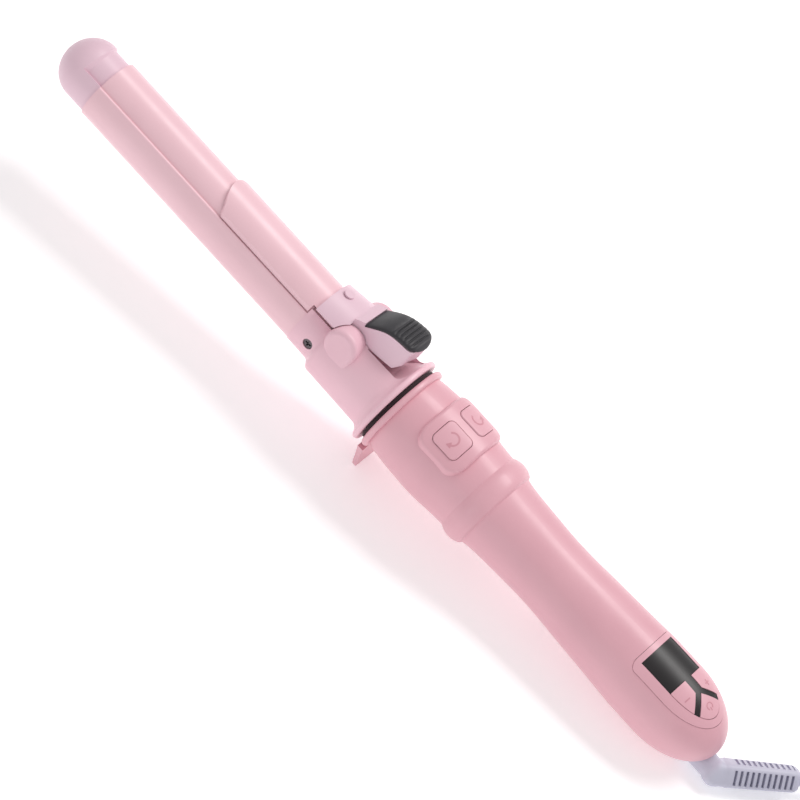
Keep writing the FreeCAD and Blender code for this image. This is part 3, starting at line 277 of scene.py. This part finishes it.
finishes = {
    "barrel_coating": makePlastic("barrelEnamel", srgb(245, 203, 212), srgb(237, 194, 203), (0.3, 0.4),
                                  grain=3200.0, bump=0.000012, coat=0.15, marks=0.15),
    "lilac_plastic": makePlastic("lilacPlastic", srgb(235, 202, 215), srgb(227, 193, 207), (0.36, 0.46),
                                 coat=0.05),
    "pink_plastic": makePlastic("rosePlastic", srgb(231, 176, 187), srgb(222, 166, 178), (0.32, 0.42),
                                coat=0.1),
    "inlay_plastic": makePlastic("inlayPlastic", srgb(232, 178, 189), srgb(225, 170, 182), (0.36, 0.46),
                                 coat=0.05),
    "pad_rubber": makePlastic("padRubber", srgb(42, 40, 46), srgb(32, 30, 35), (0.42, 0.6), grain=1400.0,
                              bump=0.00004, sheen=0.1),
    "window_black": makeWindowBlack(),
    "boot_white": makePlastic("bootWhite", srgb(204, 203, 219), srgb(190, 189, 207), (0.4, 0.52),
                              grain=1500.0),
    "cord_pvc": makePlastic("cordVinyl", srgb(206, 205, 220), srgb(194, 193, 210), (0.38, 0.5), grain=1200.0,
                            bump=0.00002),
    "steel": makeMetal("springSteel", (0.62, 0.62, 0.63, 1), (0.44, 0.43, 0.43, 1), (0.2, 0.38)),
    "screw_steel": makeMetal("blackenedScrew", (0.16, 0.14, 0.15, 1), (0.09, 0.08, 0.085, 1), (0.3, 0.5)),
    "aluminium": makeMetal("milledAluminium", (0.8, 0.8, 0.81, 1), (0.66, 0.66, 0.67, 1), (0.25, 0.45)),
    "brass": makeMetal("brass", (0.8, 0.62, 0.3, 1), (0.62, 0.45, 0.2, 1), (0.22, 0.4)),
    "ceramic": makePlastic("ceramicWhite", (0.8, 0.78, 0.72, 1), (0.72, 0.69, 0.62, 1), (0.5, 0.65),
                           grain=900.0),
    "gear_nylon": makePlastic("gearNylon", (0.82, 0.8, 0.74, 1), (0.76, 0.73, 0.66, 1), (0.4, 0.5),
                              grain=900.0),
    "board_green": makeBoardGreen(),
    "dark_parts": makePlastic("darkMoulding", (0.035, 0.035, 0.04, 1), (0.02, 0.02, 0.023, 1), (0.4, 0.55)),
}


# the collar is moulded from a paler batch than the grip
collarFinish = makePlastic("collarPlastic", srgb(243, 199, 211), srgb(234, 189, 202), (0.32, 0.42), coat=0.1)


def dressNodes():
    for entry in frame["record"]["subparts"]:
        node = nodes[entry["node"]]
        finish = finishes[entry["material_slot"]]
        for index in range(len(node.data.materials)):
            node.data.materials[index] = finish
        if not node.data.materials:
            node.data.materials.append(finish)
    nodes["head_collar"].data.materials[0] = collarFinish


dressNodes()
print("materials:", len(finishes))


# the steps that every new piece is made with

def makePiece(name, mesh, body, slotName, replaced=(), place=millimetres, sharpAngle=38, finish=None):
    bmesh.ops.remove_doubles(mesh, verts=mesh.verts, dist=0.0005)
    bmesh.ops.recalc_face_normals(mesh, faces=mesh.faces)
    mesh.transform(place)
    data = bpy.data.meshes.new(name)
    mesh.to_mesh(data)
    mesh.free()
    data.materials.append(finish or finishes[slotName])
    data.shade_smooth()
    data.set_sharp_from_angle(angle=math.radians(sharpAngle))
    piece = bpy.data.objects.new(name, data)
    bpy.context.scene.collection.objects.link(piece)
    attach(piece, body)
    if replaced:
        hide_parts(*replaced)
    return piece


# a closed ring of corners: a circle at squareness 2, squarer above that
def addRing(mesh, place, half, squareness=2.0, corners=32):
    verts = bmesh.ops.create_circle(mesh, cap_ends=False, radius=1.0, segments=corners)["verts"]
    power = 2.0 / squareness
    for vert in verts:
        x, y = vert.co.x, vert.co.y
        vert.co.x = math.copysign(abs(x) ** power, x) * half[0]
        vert.co.y = math.copysign(abs(y) ** power, y) * half[1]
    bmesh.ops.transform(mesh, matrix=place, verts=verts)
    edges = list({edge for vert in verts for edge in vert.link_edges})
    return edges


def joinRings(mesh, rings, closeEnds=True):
    rows = []
    for first, second in zip(rings, rings[1:]):
        rows.append(bmesh.ops.bridge_loops(mesh, edges=first + second)["faces"])
    if closeEnds:
        for ring in (rings[0], rings[-1]):
            bmesh.ops.edgeloop_fill(mesh, edges=ring)
    return rows


# a frame at a point whose Z looks along the path and whose Y leans towards a side
def ringPlace(point, direction, side):
    ahead = direction.normalized()
    flank = side.cross(ahead).normalized()
    rise = ahead.cross(flank)
    turn = Matrix((flank, rise, ahead)).transposed().to_4x4()
    return Matrix.Translation(point) @ turn


# the cord, in metres: out of the boot, round the coil, and out to the plug
cordPlan = {
    "diameter": 0.0052,
    "length": 1.85,
    "lead": [(0.20319, 0.01663, 0.00749), (0.2161, 0.0291, 0.0087), (0.2274, 0.0411, 0.0067),
             (0.2376, 0.0520, 0.0035), (0.2490, 0.0620, 0.0026)],
    "tail": [(0.3071, 0.0245, 0.0182), (0.3044, 0.0116, 0.0176), (0.2976, -0.0002, 0.0144),
             (0.2872, -0.0082, 0.0104), (0.2756, -0.0117, 0.0076), (0.2640, -0.0122, 0.0066)],
    "coilCentre": (0.2740, 0.0365),
    "turns": 9.43,
    "layers": 4,
    "outerTurn": 0.0358,
    "innerTurn": 0.0233,
    "startAngle": 134.4,   # degrees, where the lead meets the coil
    "pointsPerTurn": 16,
    "climb": 0.16,         # of a turn, between layers
}


def coilPoints(plan):
    centreX, centreY = plan["coilCentre"]
    perLayer = plan["turns"] / plan["layers"]
    points = []
    for step in range(1, int(plan["turns"] * plan["pointsPerTurn"]) + 1):
        turn = step / plan["pointsPerTurn"]
        layer = min(int(turn / perLayer), plan["layers"] - 1)
        within = turn - layer * perLayer
        spiralTurns = perLayer - plan["climb"]
        share = min(within / spiralTurns, 1.0)
        rise = max(within - spiralTurns, 0.0) / plan["climb"]
        if layer == plan["layers"] - 1:
            share = within / perLayer
            rise = 0.0
        if layer % 2:
            share = 1.0 - share
        radius = plan["outerTurn"] + (plan["innerTurn"] - plan["outerTurn"]) * share
        angle = math.radians(plan["startAngle"]) - 2 * math.pi * turn
        height = plan["diameter"] * (0.5 + layer + rise)
        points.append((centreX + radius * math.cos(angle), centreY + radius * math.sin(angle), height))
    return points


def makeCord():
    plan = cordPlan
    route = plan["lead"] + coilPoints(plan) + plan["tail"]
    curve = bpy.data.curves.new("cordCurve", "CURVE")
    curve.dimensions = "3D"
    curve.bevel_depth = plan["diameter"] / 2
    curve.bevel_resolution = 5
    curve.resolution_u = 5
    curve.use_fill_caps = True
    spline = curve.splines.new("NURBS")
    spline.points.add(len(route) - 1)
    for point, place in zip(spline.points, route):
        point.co = (*place, 1.0)
    spline.order_u = 3
    spline.use_endpoint_u = True
    cord = bpy.data.objects.new("mainsCord", curve)
    bpy.context.scene.collection.objects.link(cord)
    curve.materials.append(finishes["cord_pvc"])
    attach(cord, "cord_swivel")
    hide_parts("cord_tube", "cord_coil", "cord_tail")
    return cord


# a hook-and-loop strap once round the coil's bundle
tiePlan = {"width": 6.0, "thick": 0.75, "innerTurn": 20.0, "outerTurn": 38.0, "height": 20.8, "angle": -75.0,
           "squareness": 6.0, "tailLong": 9.0, "tailThick": 0.9, "tailInset": 0.6, "tailRound": 0.3}


def makeCoilTie():
    plan = tiePlan
    halfRadial = (plan["outerTurn"] - plan["innerTurn"]) / 2 + plan["thick"] * 0.9
    halfHigh = plan["height"] / 2 + plan["thick"] * 0.5
    middle = (plan["outerTurn"] + plan["innerTurn"]) / 2
    strap = bmesh.new()
    loops = []
    for side in (-1, 1):
        upright = Matrix(((1, 0, 0), (0, 0, -1), (0, 1, 0))).to_4x4()
        place = Matrix.Translation((middle, side * plan["width"] / 2, halfHigh)) @ upright
        loops.append(addRing(strap, place, (halfRadial, halfHigh), plan["squareness"], corners=40))
    joinRings(strap, loops, closeEnds=False)
    bmesh.ops.recalc_face_normals(strap, faces=strap.faces)
    bmesh.ops.solidify(strap, geom=strap.faces, thickness=plan["thick"])
    tail = bmesh.ops.create_cube(strap, size=1.0)["verts"]
    tailSize = (plan["tailLong"], plan["width"] - plan["tailInset"], plan["tailThick"])
    bmesh.ops.scale(strap, vec=tailSize, verts=tail)
    bmesh.ops.translate(strap, vec=(middle, 0.0, 2 * halfHigh - 0.1), verts=tail)
    tailEdges = [edge for edge in strap.edges if edge.verts[0] in tail and edge.verts[1] in tail]
    bmesh.ops.bevel(strap, geom=tailEdges, offset=plan["tailRound"], affect="EDGES", segments=2, profile=0.5,
                    material=-1)
    centreX, centreY = cordPlan["coilCentre"]
    place = (Matrix.Translation((centreX, centreY, 0)) @ Matrix.Rotation(math.radians(plan["angle"]), 4, "Z")
             @ millimetres)
    return makePiece("coilStrap", strap, "cord_swivel", "boot_white", ("coil_tie",), place, sharpAngle=50)


# the plug, in millimetres, from the cord's end back to its pins
plugPlan = {"cordEnd": (264.0, -12.2, 6.6), "relief": 12.0, "length": 30.0, "halfWidth": 12.0,
            "halfHigh": 6.6, "waist": 0.84, "gripFrom": 7.0, "gripRibs": 5, "ribPitch": 2.4, "ribDeep": 0.55,
            "collars": 4, "collarPitch": 2.6, "collarRadius": 3.4, "collarGrowth": 0.45}


def makePlug():
    plan = plugPlan
    endX, endY, endZ = plan["cordEnd"]
    backward = Vector((-1, 0, 0))
    lift = Vector((0, 0, 1))
    # along the plug from the cord's end: distance, half width, half height, squareness
    stations = [(0.0, 3.0, 3.0, 2.0)]
    for rib in range(plan["collars"]):
        start = 0.8 + rib * plan["collarPitch"]
        swell = plan["collarRadius"] + rib * plan["collarGrowth"]
        stations += [(start, swell, swell, 2.2), (start + 1.4, swell + 0.2, swell + 0.15, 2.2),
                     (start + 1.6, swell - 0.5, swell - 0.5, 2.2),
                     (start + 2.4, swell - 0.4, swell - 0.4, 2.2)]
    bodyStart = plan["relief"]
    full = plan["halfWidth"]
    high = plan["halfHigh"]
    stations += [(bodyStart, full * 0.5, high * 0.75, 2.6), (bodyStart + 1.5, full * 0.72, high * 0.88, 3.0),
                 (bodyStart + 4.0, full * plan["waist"], high * 0.94, 3.4)]
    gripStart = bodyStart + plan["gripFrom"]
    wide = full * plan["waist"]
    thick = high * 0.95
    low = plan["ribDeep"]
    for rib in range(plan["gripRibs"]):
        x = gripStart + rib * plan["ribPitch"]
        stations += [(x, wide, thick, 3.6), (x + 0.35, wide - low, thick - 0.4, 3.6),
                     (x + 1.2, wide - low, thick - 0.4, 3.6), (x + 1.55, wide, thick, 3.6)]
    stations += [(bodyStart + plan["length"] - 7.0, full * 0.95, high * 0.98, 3.8),
                 (bodyStart + plan["length"] - 4.0, full, high, 4.2),
                 (bodyStart + plan["length"] - 0.8, full, high, 4.4),
                 (bodyStart + plan["length"], full - 0.8, high - 0.8, 4.4)]
    plug = bmesh.new()
    rings = []
    for distance, halfWide, halfHigh, squareness in stations:
        point = Vector((endX - distance, endY, endZ))
        place = ringPlace(point, backward, lift)
        rings.append(addRing(plug, place, (halfWide, halfHigh), squareness, corners=40))
    joinRings(plug, rings)
    return makePiece("plugMoulding", plug, "cord_swivel", "boot_white", ("plug_body",), sharpAngle=42)


cord = makeCord()
coilStrap = makeCoilTie()
plugMoulding = makePlug()
print("cord, strap and plug made")


# the cord's swivel boot, in millimetres from the barrel's tip end
bootPlan = {
    "hubStart": 351.0, "hubRadius": 5.0, "hubDrop": 9.2, "rimRadius": 5.7, "rimWide": 1.8, "hubLong": 15.0,
    "elbowX": 378.0, "elbowAngle": 45.0, "swivelTurn": 11.5, "bendSteps": 7,
    "bend": 3.0, "length": 34.0, "halfStart": 5.1, "halfEnd": 4.7, "squareness": 4.2, "roll": 40.0,
    "ribsFrom": 6.3, "slotPitch": 2.35, "slots": 11, "slotWide": 1.15, "slotDeep": 2.0, "slotReach": 3.2,
    "notchReach": 2.4, "notchDeep": 0.8, "kneeSwell": 0.7, "kneeOut": 0.6, "floorGap": 0.05,
}


def bootDirections():
    lean = math.radians(bootPlan["elbowAngle"])
    turn = math.radians(bootPlan["swivelTurn"])
    ahead = Vector((math.cos(lean), math.sin(lean) * math.cos(turn), math.sin(lean) * math.sin(turn)))
    face = Vector((1, 0, 0)).cross(ahead).normalized()
    return ahead, Matrix.Rotation(math.radians(bootPlan["roll"]), 3, ahead) @ face


def makeBoot():
    plan = bootPlan
    ahead, face = bootDirections()
    level = Vector((1, 0, 0))
    elbow = Vector((plan["elbowX"], 0, -plan["hubDrop"]))
    boot = bmesh.new()
    rings = []

    def ringAt(point, direction, half, squareness):
        rings.append(addRing(boot, ringPlace(point, direction, face), (half, half), squareness, corners=48))

    rim, hub = plan["rimRadius"], plan["hubRadius"]
    rimEnd = plan["rimWide"]
    for x, radius in ((0.0, rim - 0.3), (0.2, rim), (rimEnd, rim), (rimEnd + 0.2, rim - 0.3),
                      (rimEnd + 0.4, hub), (plan["hubLong"], hub)):
        ringAt(Vector((plan["hubStart"] + x, 0, -plan["hubDrop"])), level, radius, 2.0)
    # the bend: a short curve between hub and body, swollen on its outside
    outside = (level - ahead).normalized()
    for step in range(plan["bendSteps"] + 1):
        share = step / plan["bendSteps"]
        start = elbow - level * plan["bend"]
        finish = elbow + ahead * plan["bend"]
        point = start.lerp(elbow, share).lerp(elbow.lerp(finish, share), share)
        direction = level.lerp(ahead, share)
        swell = math.sin(math.pi * min(share * 1.2, 1.0)) if share < 0.84 else 0.0
        half = plan["hubRadius"] + plan["kneeSwell"] * swell
        squareness = 2.0 + (plan["squareness"] - 2.0) * share
        ringAt(point + outside * plan["kneeOut"] * swell, direction, half, squareness)
    shrink = (plan["halfEnd"] - plan["halfStart"]) / (plan["length"] - plan["ribsFrom"])
    ringAt(elbow + ahead * (plan["ribsFrom"] - 2.6), ahead, plan["halfStart"] + 0.12, plan["squareness"])
    ringAt(elbow + ahead * (plan["ribsFrom"] - 1.2), ahead, plan["halfStart"], plan["squareness"])
    firstRow = len(rings)
    for slot in range(plan["slots"]):
        for edge in (0.0, plan["slotWide"]):
            distance = plan["ribsFrom"] + slot * plan["slotPitch"] + edge
            half = plan["halfStart"] + shrink * (distance - plan["ribsFrom"])
            ringAt(elbow + ahead * distance, ahead, half, plan["squareness"])
    for distance, half, squareness in ((plan["length"] - 2.4, plan["halfEnd"], plan["squareness"]),
                                       (plan["length"] - 1.4, plan["halfEnd"] - 0.15, 3.4),
                                       (plan["length"] - 0.4, plan["halfEnd"] - 0.7, 3.0),
                                       (plan["length"], 3.1, 2.2),
                                       (plan["length"] + 0.1, 2.7, 2.0)):
        ringAt(elbow + ahead * distance, ahead, half, squareness)
    rows = joinRings(boot, rings)

    # slots through the two broad faces, and shallower ones between them on the narrow sides
    side = ahead.cross(face)
    for slot in range(plan["slots"]):
        slotRow = rows[firstRow + 2 * slot]
        ribRow = rows[firstRow + 2 * slot + 1]
        for row, outward, reach, depth in ((slotRow, face, plan["slotReach"], plan["slotDeep"]),
                                           (slotRow, -face, plan["slotReach"], plan["slotDeep"]),
                                           (ribRow, side, plan["notchReach"], plan["notchDeep"]),
                                           (ribRow, -side, plan["notchReach"], plan["notchDeep"])):
            crosswise = outward.cross(ahead)
            chosen = []
            for panel in row:
                offset = panel.calc_center_median() - elbow
                if offset.dot(outward) > 3.0 and abs(offset.dot(crosswise)) < reach:
                    chosen.append(panel)
            if chosen:
                bmesh.ops.inset_region(boot, faces=chosen, thickness=0.06, depth=-depth, use_even_offset=True)
    # the soft knee is flat where it rests on the table
    lift = toolTurn.to_3x3().transposed() @ Vector((0, 0, 1))
    for vert in boot.verts:
        height = (toolPlace @ vert.co).z * 1000
        vert.co += lift * max(plan["floorGap"] - height, 0.0)
    return makePiece("swivelBoot", boot, "cord_swivel", "boot_white", ("swivel_boot",), toolPlace,
                     sharpAngle=40)


makeBoot()
print("swivel boot made")


# the thumb pad, in the head's own frame
padPlan = {
    "pivot": 160.0,
    "seat": [(0.4, 20.1), (5.0, 23.5), (8.6, 25.7), (15.5, 27.2), (23.5, 28.0)],   # from the pivot, height
    "crown": [(0.4, 21.8), (5.4, 26.1), (10.0, 28.5), (15.0, 29.8), (19.5, 29.9), (23.5, 28.8)],
    "halfWidth": 8.65, "noseStart": 17.4, "noseEnd": 22.75,
    "ribsFrom": 9.4, "ribPitch": 1.95, "ribs": 6, "ribHigh": 0.55,
    "frontStations": (0.45, 1.2, 2.8, 4.6, 6.4, 8.2), "noseShares": (0.2, 0.55, 0.85, 0.97),
    "sunk": 0.15, "middle": 0.38, "crossCrown": 0.16, "squareness": 3.4,
}


# the height of a smooth line through a few points
def lineHeight(points, x):
    for index, (first, second) in enumerate(zip(points, points[1:])):
        if x <= second[0] or second is points[-1]:
            before = points[max(index - 1, 0)]
            after = points[min(index + 2, len(points) - 1)]
            span = second[0] - first[0]
            slopeIn = (second[1] - before[1]) / (second[0] - before[0])
            slopeOut = (after[1] - first[1]) / (after[0] - first[0])
            share = (x - first[0]) / span
            square = share * share
            cube = square * share
            return ((2 * cube - 3 * square + 1) * first[1] + (cube - 2 * square + share) * span * slopeIn
                    + (3 * square - 2 * cube) * second[1] + (cube - square) * span * slopeOut)


def padHalfWidth(x):
    plan = padPlan
    if x <= plan["noseStart"]:
        return plan["halfWidth"]
    share = (x - plan["noseStart"]) / (plan["noseEnd"] - plan["noseStart"])
    return plan["halfWidth"] * math.sqrt(max(1 - share ** 2.2, 0.0))


def makeThumbPad():
    plan = padPlan
    stations = [(x, 0.0) for x in plan["frontStations"]]
    for rib in range(plan["ribs"]):
        start = plan["ribsFrom"] + rib * plan["ribPitch"]
        stations += [(start, 0.0), (start + 0.35, plan["ribHigh"]), (start + 0.6, plan["ribHigh"] + 0.08),
                     (start + 1.1, plan["ribHigh"] + 0.08), (start + 1.35, plan["ribHigh"]),
                     (start + 1.65, 0.0)]
    ribsEnd = stations[-1][0]
    stations += [(ribsEnd + (plan["noseEnd"] - ribsEnd) * share, 0.0) for share in plan["noseShares"]]
    standing = Matrix(((0, 0, 1), (1, 0, 0), (0, 1, 0))).to_4x4()
    pad = bmesh.new()
    rings = []
    for x, rib in stations:
        seat = lineHeight(plan["seat"], x) - plan["sunk"]
        top = lineHeight(plan["crown"], x)
        noseShare = max(x - plan["noseStart"], 0) / (plan["noseEnd"] - plan["noseStart"])
        top = seat + (top - seat) * math.sqrt(max(1 - 0.9 * noseShare ** 3, 0.05))
        half = padHalfWidth(x)
        middle = seat + plan["middle"] * (top - seat)
        place = Matrix.Translation((plan["pivot"] + x, 0, 0)) @ standing
        ring = addRing(pad, Matrix.Identity(4), (1.0, 1.0), plan["squareness"], corners=40)
        for vert in {vert for edge in ring for vert in edge.verts}:
            wide, high = vert.co.x, vert.co.y
            reach = (top - middle) if high > 0 else (middle - seat)
            crown = 1.0 - plan["crossCrown"] * wide * wide if high > 0 else 1.0
            ribShare = max(0.0, 1.0 - abs(wide) ** 4) if high > 0.4 else 0.0
            vert.co = (wide * half, middle + high * reach * crown + rib * ribShare, 0.0)
            vert.co = place @ vert.co
        rings.append(ring)
    joinRings(pad, rings)
    return makePiece("ribbedThumbPad", pad, "clamp", "pad_rubber", ("thumb_pad",), headPlace, sharpAngle=40)


makeThumbPad()
print("thumb pad made")


# a near-black disc filling the gap between the turning head and the stand's ring: painted shade for the dark gap
gapShadePlan = {"start": 189.0, "end": 190.3, "inner": 4.4, "outer": 18.4, "round": 0.3}


# painted shade: the disc's near-black colour stands in for the shadow inside the gap
gapShadeFinish = makePlastic("paintedGapShade", srgb(46, 28, 34), srgb(30, 18, 22), (0.8, 0.95), bump=0.00006, sheen=0.2)


# builds the disc of painted shade that darkens the gap
def makeGapShadeDisc():
    plan = gapShadePlan
    shadeDisc = bmesh.new()
    bite = plan["round"]
    section = [(plan["start"], plan["inner"]), (plan["start"], plan["outer"] - bite),
               (plan["start"] + bite, plan["outer"]), (plan["end"] - bite, plan["outer"]),
               (plan["end"], plan["outer"] - bite), (plan["end"], plan["inner"])]
    corners = [shadeDisc.verts.new((x, 0, radius)) for x, radius in section]
    edges = [shadeDisc.edges.new(pair) for pair in zip(corners, corners[1:] + corners[:1])]
    bmesh.ops.spin(shadeDisc, geom=corners + edges, cent=(0, 0, 0), axis=(1, 0, 0), angle=math.tau, steps=96,
                   use_merge=True)
    return makePiece("gapShadeDisc", shadeDisc, "head", "dark_parts", place=headPlace, finish=gapShadeFinish)


makeGapShadeDisc()
print("gap shade disc made")


# raised marks on the keys and buttons: bars and arcs in the key's own plane, laid onto its face
markPlan = {"proud": 0.07, "sunk": 0.25, "bar": 0.55, "keyReach": 1.35, "powerRadius": 1.45,
            "powerOpen": 38.0, "powerThin": 0.8, "powerStem": 0.5, "arrowRadius": 2.6, "arrowFrom": 150.0,
            "arrowTo": -60.0, "arrowWide": 0.7, "headLong": 2.1, "headWide": 1.25}


def addBar(mesh, start, end, width, steps=8):
    first = Vector((*start, 0))
    last = Vector((*end, 0))
    run = (last - first).normalized()
    flank = Vector((-run.y, run.x, 0)) * width / 2
    grid = bmesh.ops.create_grid(mesh, x_segments=steps, y_segments=1, size=0.5)["verts"]
    for vert in grid:
        vert.co = first.lerp(last, vert.co.x + 0.5) + flank * vert.co.y * 2


def addArc(mesh, radius, width, start, end, steps=28):
    grid = bmesh.ops.create_grid(mesh, x_segments=steps, y_segments=1, size=0.5)["verts"]
    for vert in grid:
        angle = math.radians(start + (end - start) * (vert.co.x + 0.5))
        out = radius + width * vert.co.y
        vert.co = Vector((out * math.cos(angle), out * math.sin(angle), 0))


def addArrowHead(mesh, radius, angle, length, halfWidth, turn):
    at = math.radians(angle)
    middle = Vector((radius * math.cos(at), radius * math.sin(at), 0))
    outward = middle.normalized()
    ahead = Vector((-outward.y, outward.x, 0)) * turn
    corners = [middle + outward * halfWidth, middle + ahead * length, middle - outward * halfWidth]
    mesh.faces.new([mesh.verts.new(corner) for corner in corners])


def layMark(name, mesh, node, body):
    plan = markPlan
    low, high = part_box(node)
    centre = (Vector(low) + Vector(high)) / 2
    face = nodes[node]
    normal = upward
    for settle in range(2):
        found, spot, tilt, index = face.ray_cast(centre + normal * 0.05, -normal)
        if settle == 0 and found:
            normal = tilt.normalized()
    run = (along - normal * along.dot(normal)).normalized()
    flank = normal.cross(run)
    for vert in mesh.verts:
        place = spot + (run * vert.co.x + flank * vert.co.y) * 0.001
        found, landing, tilt, index = face.ray_cast(place + normal * 0.004, -normal)
        vert.co = (landing if found else place) + normal * plan["proud"] * 0.001
    bmesh.ops.recalc_face_normals(mesh, faces=mesh.faces)
    below = bmesh.ops.extrude_face_region(mesh, geom=list(mesh.faces), use_keep_orig=True)["geom"]
    sunk = [item for item in below if isinstance(item, bmesh.types.BMVert)]
    bmesh.ops.translate(mesh, vec=-normal * plan["sunk"] * 0.001, verts=sunk)
    for vert in mesh.verts:
        vert.co = vert.co * 1000
    return makePiece(name, mesh, body, "inlay_plastic", sharpAngle=30, finish=markFinish)


def makeMarks():
    plan = markPlan
    reach = plan["keyReach"]
    made = []
    for name, node, body in (("plusMark", "plus_key", "plus"), ("minusMark", "minus_key", "minus")):
        mark = bmesh.new()
        if body == "plus":
            addBar(mark, (-reach, 0), (-plan["bar"] / 2, 0), plan["bar"])
            addBar(mark, (plan["bar"] / 2, 0), (reach, 0), plan["bar"])
        addBar(mark, (0, -reach), (0, reach), plan["bar"])
        made.append(layMark(name, mark, node, body))
    mark = bmesh.new()
    thin = plan["bar"] * plan["powerThin"]
    stem = plan["powerStem"]
    addArc(mark, plan["powerRadius"], thin, plan["powerOpen"], 360 - plan["powerOpen"])
    addBar(mark, (stem, 0), (plan["powerRadius"] + stem, 0), thin)
    made.append(layMark("powerMark", mark, "power_key", "power"))
    for name, node, body, turn in (("leftTurnMark", "rotate_left_button", "left_button", 1),
                                   ("rightTurnMark", "rotate_right_button", "right_button", -1)):
        mark = bmesh.new()
        start, end = plan["arrowFrom"] * turn, plan["arrowTo"] * turn
        addArc(mark, plan["arrowRadius"], plan["arrowWide"], start, end)
        addArrowHead(mark, plan["arrowRadius"], end, plan["headLong"], plan["headWide"], -turn)
        made.append(layMark(name, mark, node, body))
    return made


# the marks are a shade deeper than the keys
markFinish = makePlastic("markInlay", srgb(213, 150, 162), srgb(206, 142, 155), (0.4, 0.5))
print("marks laid on the keys:", len(makeMarks()))


# the camera, in degrees, metres and millimetres along the tool
viewPlan = {"lens": 200.0, "sensor": 36.0, "frameWidth": 0.312, "leanBack": 5.0, "lookAngle": 37.5,
            "slant": 47.47, "station": 189.0, "aside": 1.8}


def makeCamera():
    plan = viewPlan
    lean = math.radians(plan["leanBack"])
    look = math.radians(plan["lookAngle"])
    faceOn = upward * math.cos(look) - across * math.sin(look)
    back = faceOn * math.cos(lean) + along * math.sin(lean)
    aside = upward * math.sin(look) + across * math.cos(look)
    lengthwise = along * math.cos(lean) - faceOn * math.sin(lean)
    slant = math.radians(plan["slant"])
    right = lengthwise * math.cos(slant) + aside * math.sin(slant)
    up = aside * math.cos(slant) - lengthwise * math.sin(slant)
    distance = plan["frameWidth"] * plan["lens"] / plan["sensor"]
    target = tipEnd + along * plan["station"] * 0.001 + aside * plan["aside"] * 0.001
    camera = bpy.data.cameras.new("studioCamera")
    camera.lens = plan["lens"]
    camera.sensor_width = plan["sensor"]
    camera.clip_start = 0.05
    camera.clip_end = 30.0
    holder = bpy.data.objects.new("studioCamera", camera)
    holder.matrix_world = (Matrix.Translation(target + back * distance)
                           @ Matrix((right, up, back)).transposed().to_4x4())
    bpy.context.scene.collection.objects.link(holder)
    bpy.context.scene.camera = holder
    return target, back, aside


def aimLight(name, target, direction, distance, size, power, colour):
    lamp = bpy.data.lights.new(name, "AREA")
    lamp.shape = "RECTANGLE"
    lamp.size, lamp.size_y = size
    lamp.energy = power
    lamp.color = colour
    holder = bpy.data.objects.new(name, lamp)
    direction = direction.normalized()
    side = along.cross(direction).normalized()
    ahead = side.cross(direction)
    holder.matrix_world = (Matrix.Translation(target + direction * distance)
                           @ Matrix((-ahead, side, direction)).transposed().to_4x4())
    bpy.context.scene.collection.objects.link(holder)


# the studio: a long key softbox high on one side, a wide fill on the other, and a pale surround
lightPlan = {"keyTurn": 68.0, "keyAway": 1.3, "keySize": (1.1, 0.4), "keyPower": 10.5,
             "keyTint": (1.0, 0.985, 0.97), "fillAway": 1.6, "fillSize": (1.2, 0.9), "fillPower": 3.2,
             "fillTint": (0.97, 0.98, 1.0),
             "surround": 0.52, "floorHalf": 3.0, "floorGlow": 0.32}


def lightStage(target, back, aside):
    plan = lightPlan
    turned = math.radians(plan["keyTurn"])
    aimLight("keySoftbox", target, back * math.cos(turned) + aside * math.sin(turned), plan["keyAway"],
             plan["keySize"], plan["keyPower"], plan["keyTint"])
    aimLight("fillSoftbox", target, back * 0.8 - aside * 0.75, plan["fillAway"], plan["fillSize"],
             plan["fillPower"], plan["fillTint"])
    world = bpy.data.worlds.new("studioWorld")
    bpy.context.scene.world = world
    world.use_nodes = True
    sky = world.node_tree.nodes["Background"]
    sky.inputs["Color"].default_value = (1.0, 0.99, 0.995, 1.0)
    sky.inputs["Strength"].default_value = plan["surround"]
    bpy.context.scene.view_settings.view_transform = "Standard"


def layFloor():
    table = bmesh.new()
    bmesh.ops.create_grid(table, x_segments=8, y_segments=8, size=lightPlan["floorHalf"])
    data = bpy.data.meshes.new("paleFloor")
    table.to_mesh(data)
    table.free()
    material, tree, shader, place = startMaterial("paleFloor")
    cloud = remap(tree, noiseIn(tree, place, 3.0, 2.0), 0.3, 0.7, 0.0, 1.0)
    colour = blendColours(tree, cloud, (0.97, 0.97, 0.97, 1), (0.955, 0.955, 0.96, 1))
    tree.links.new(colour, shader.inputs["Base Color"])
    shader.inputs["Roughness"].default_value = 0.7
    shader.inputs["Emission Color"].default_value = (1.0, 1.0, 1.0, 1.0)
    shader.inputs["Emission Strength"].default_value = lightPlan["floorGlow"]
    data.materials.append(material)
    floor = bpy.data.objects.new("paleFloor", data)
    bpy.context.scene.collection.objects.link(floor)


target, back, aside = makeCamera()
lightStage(target, back, aside)
layFloor()
print("camera and stage set")
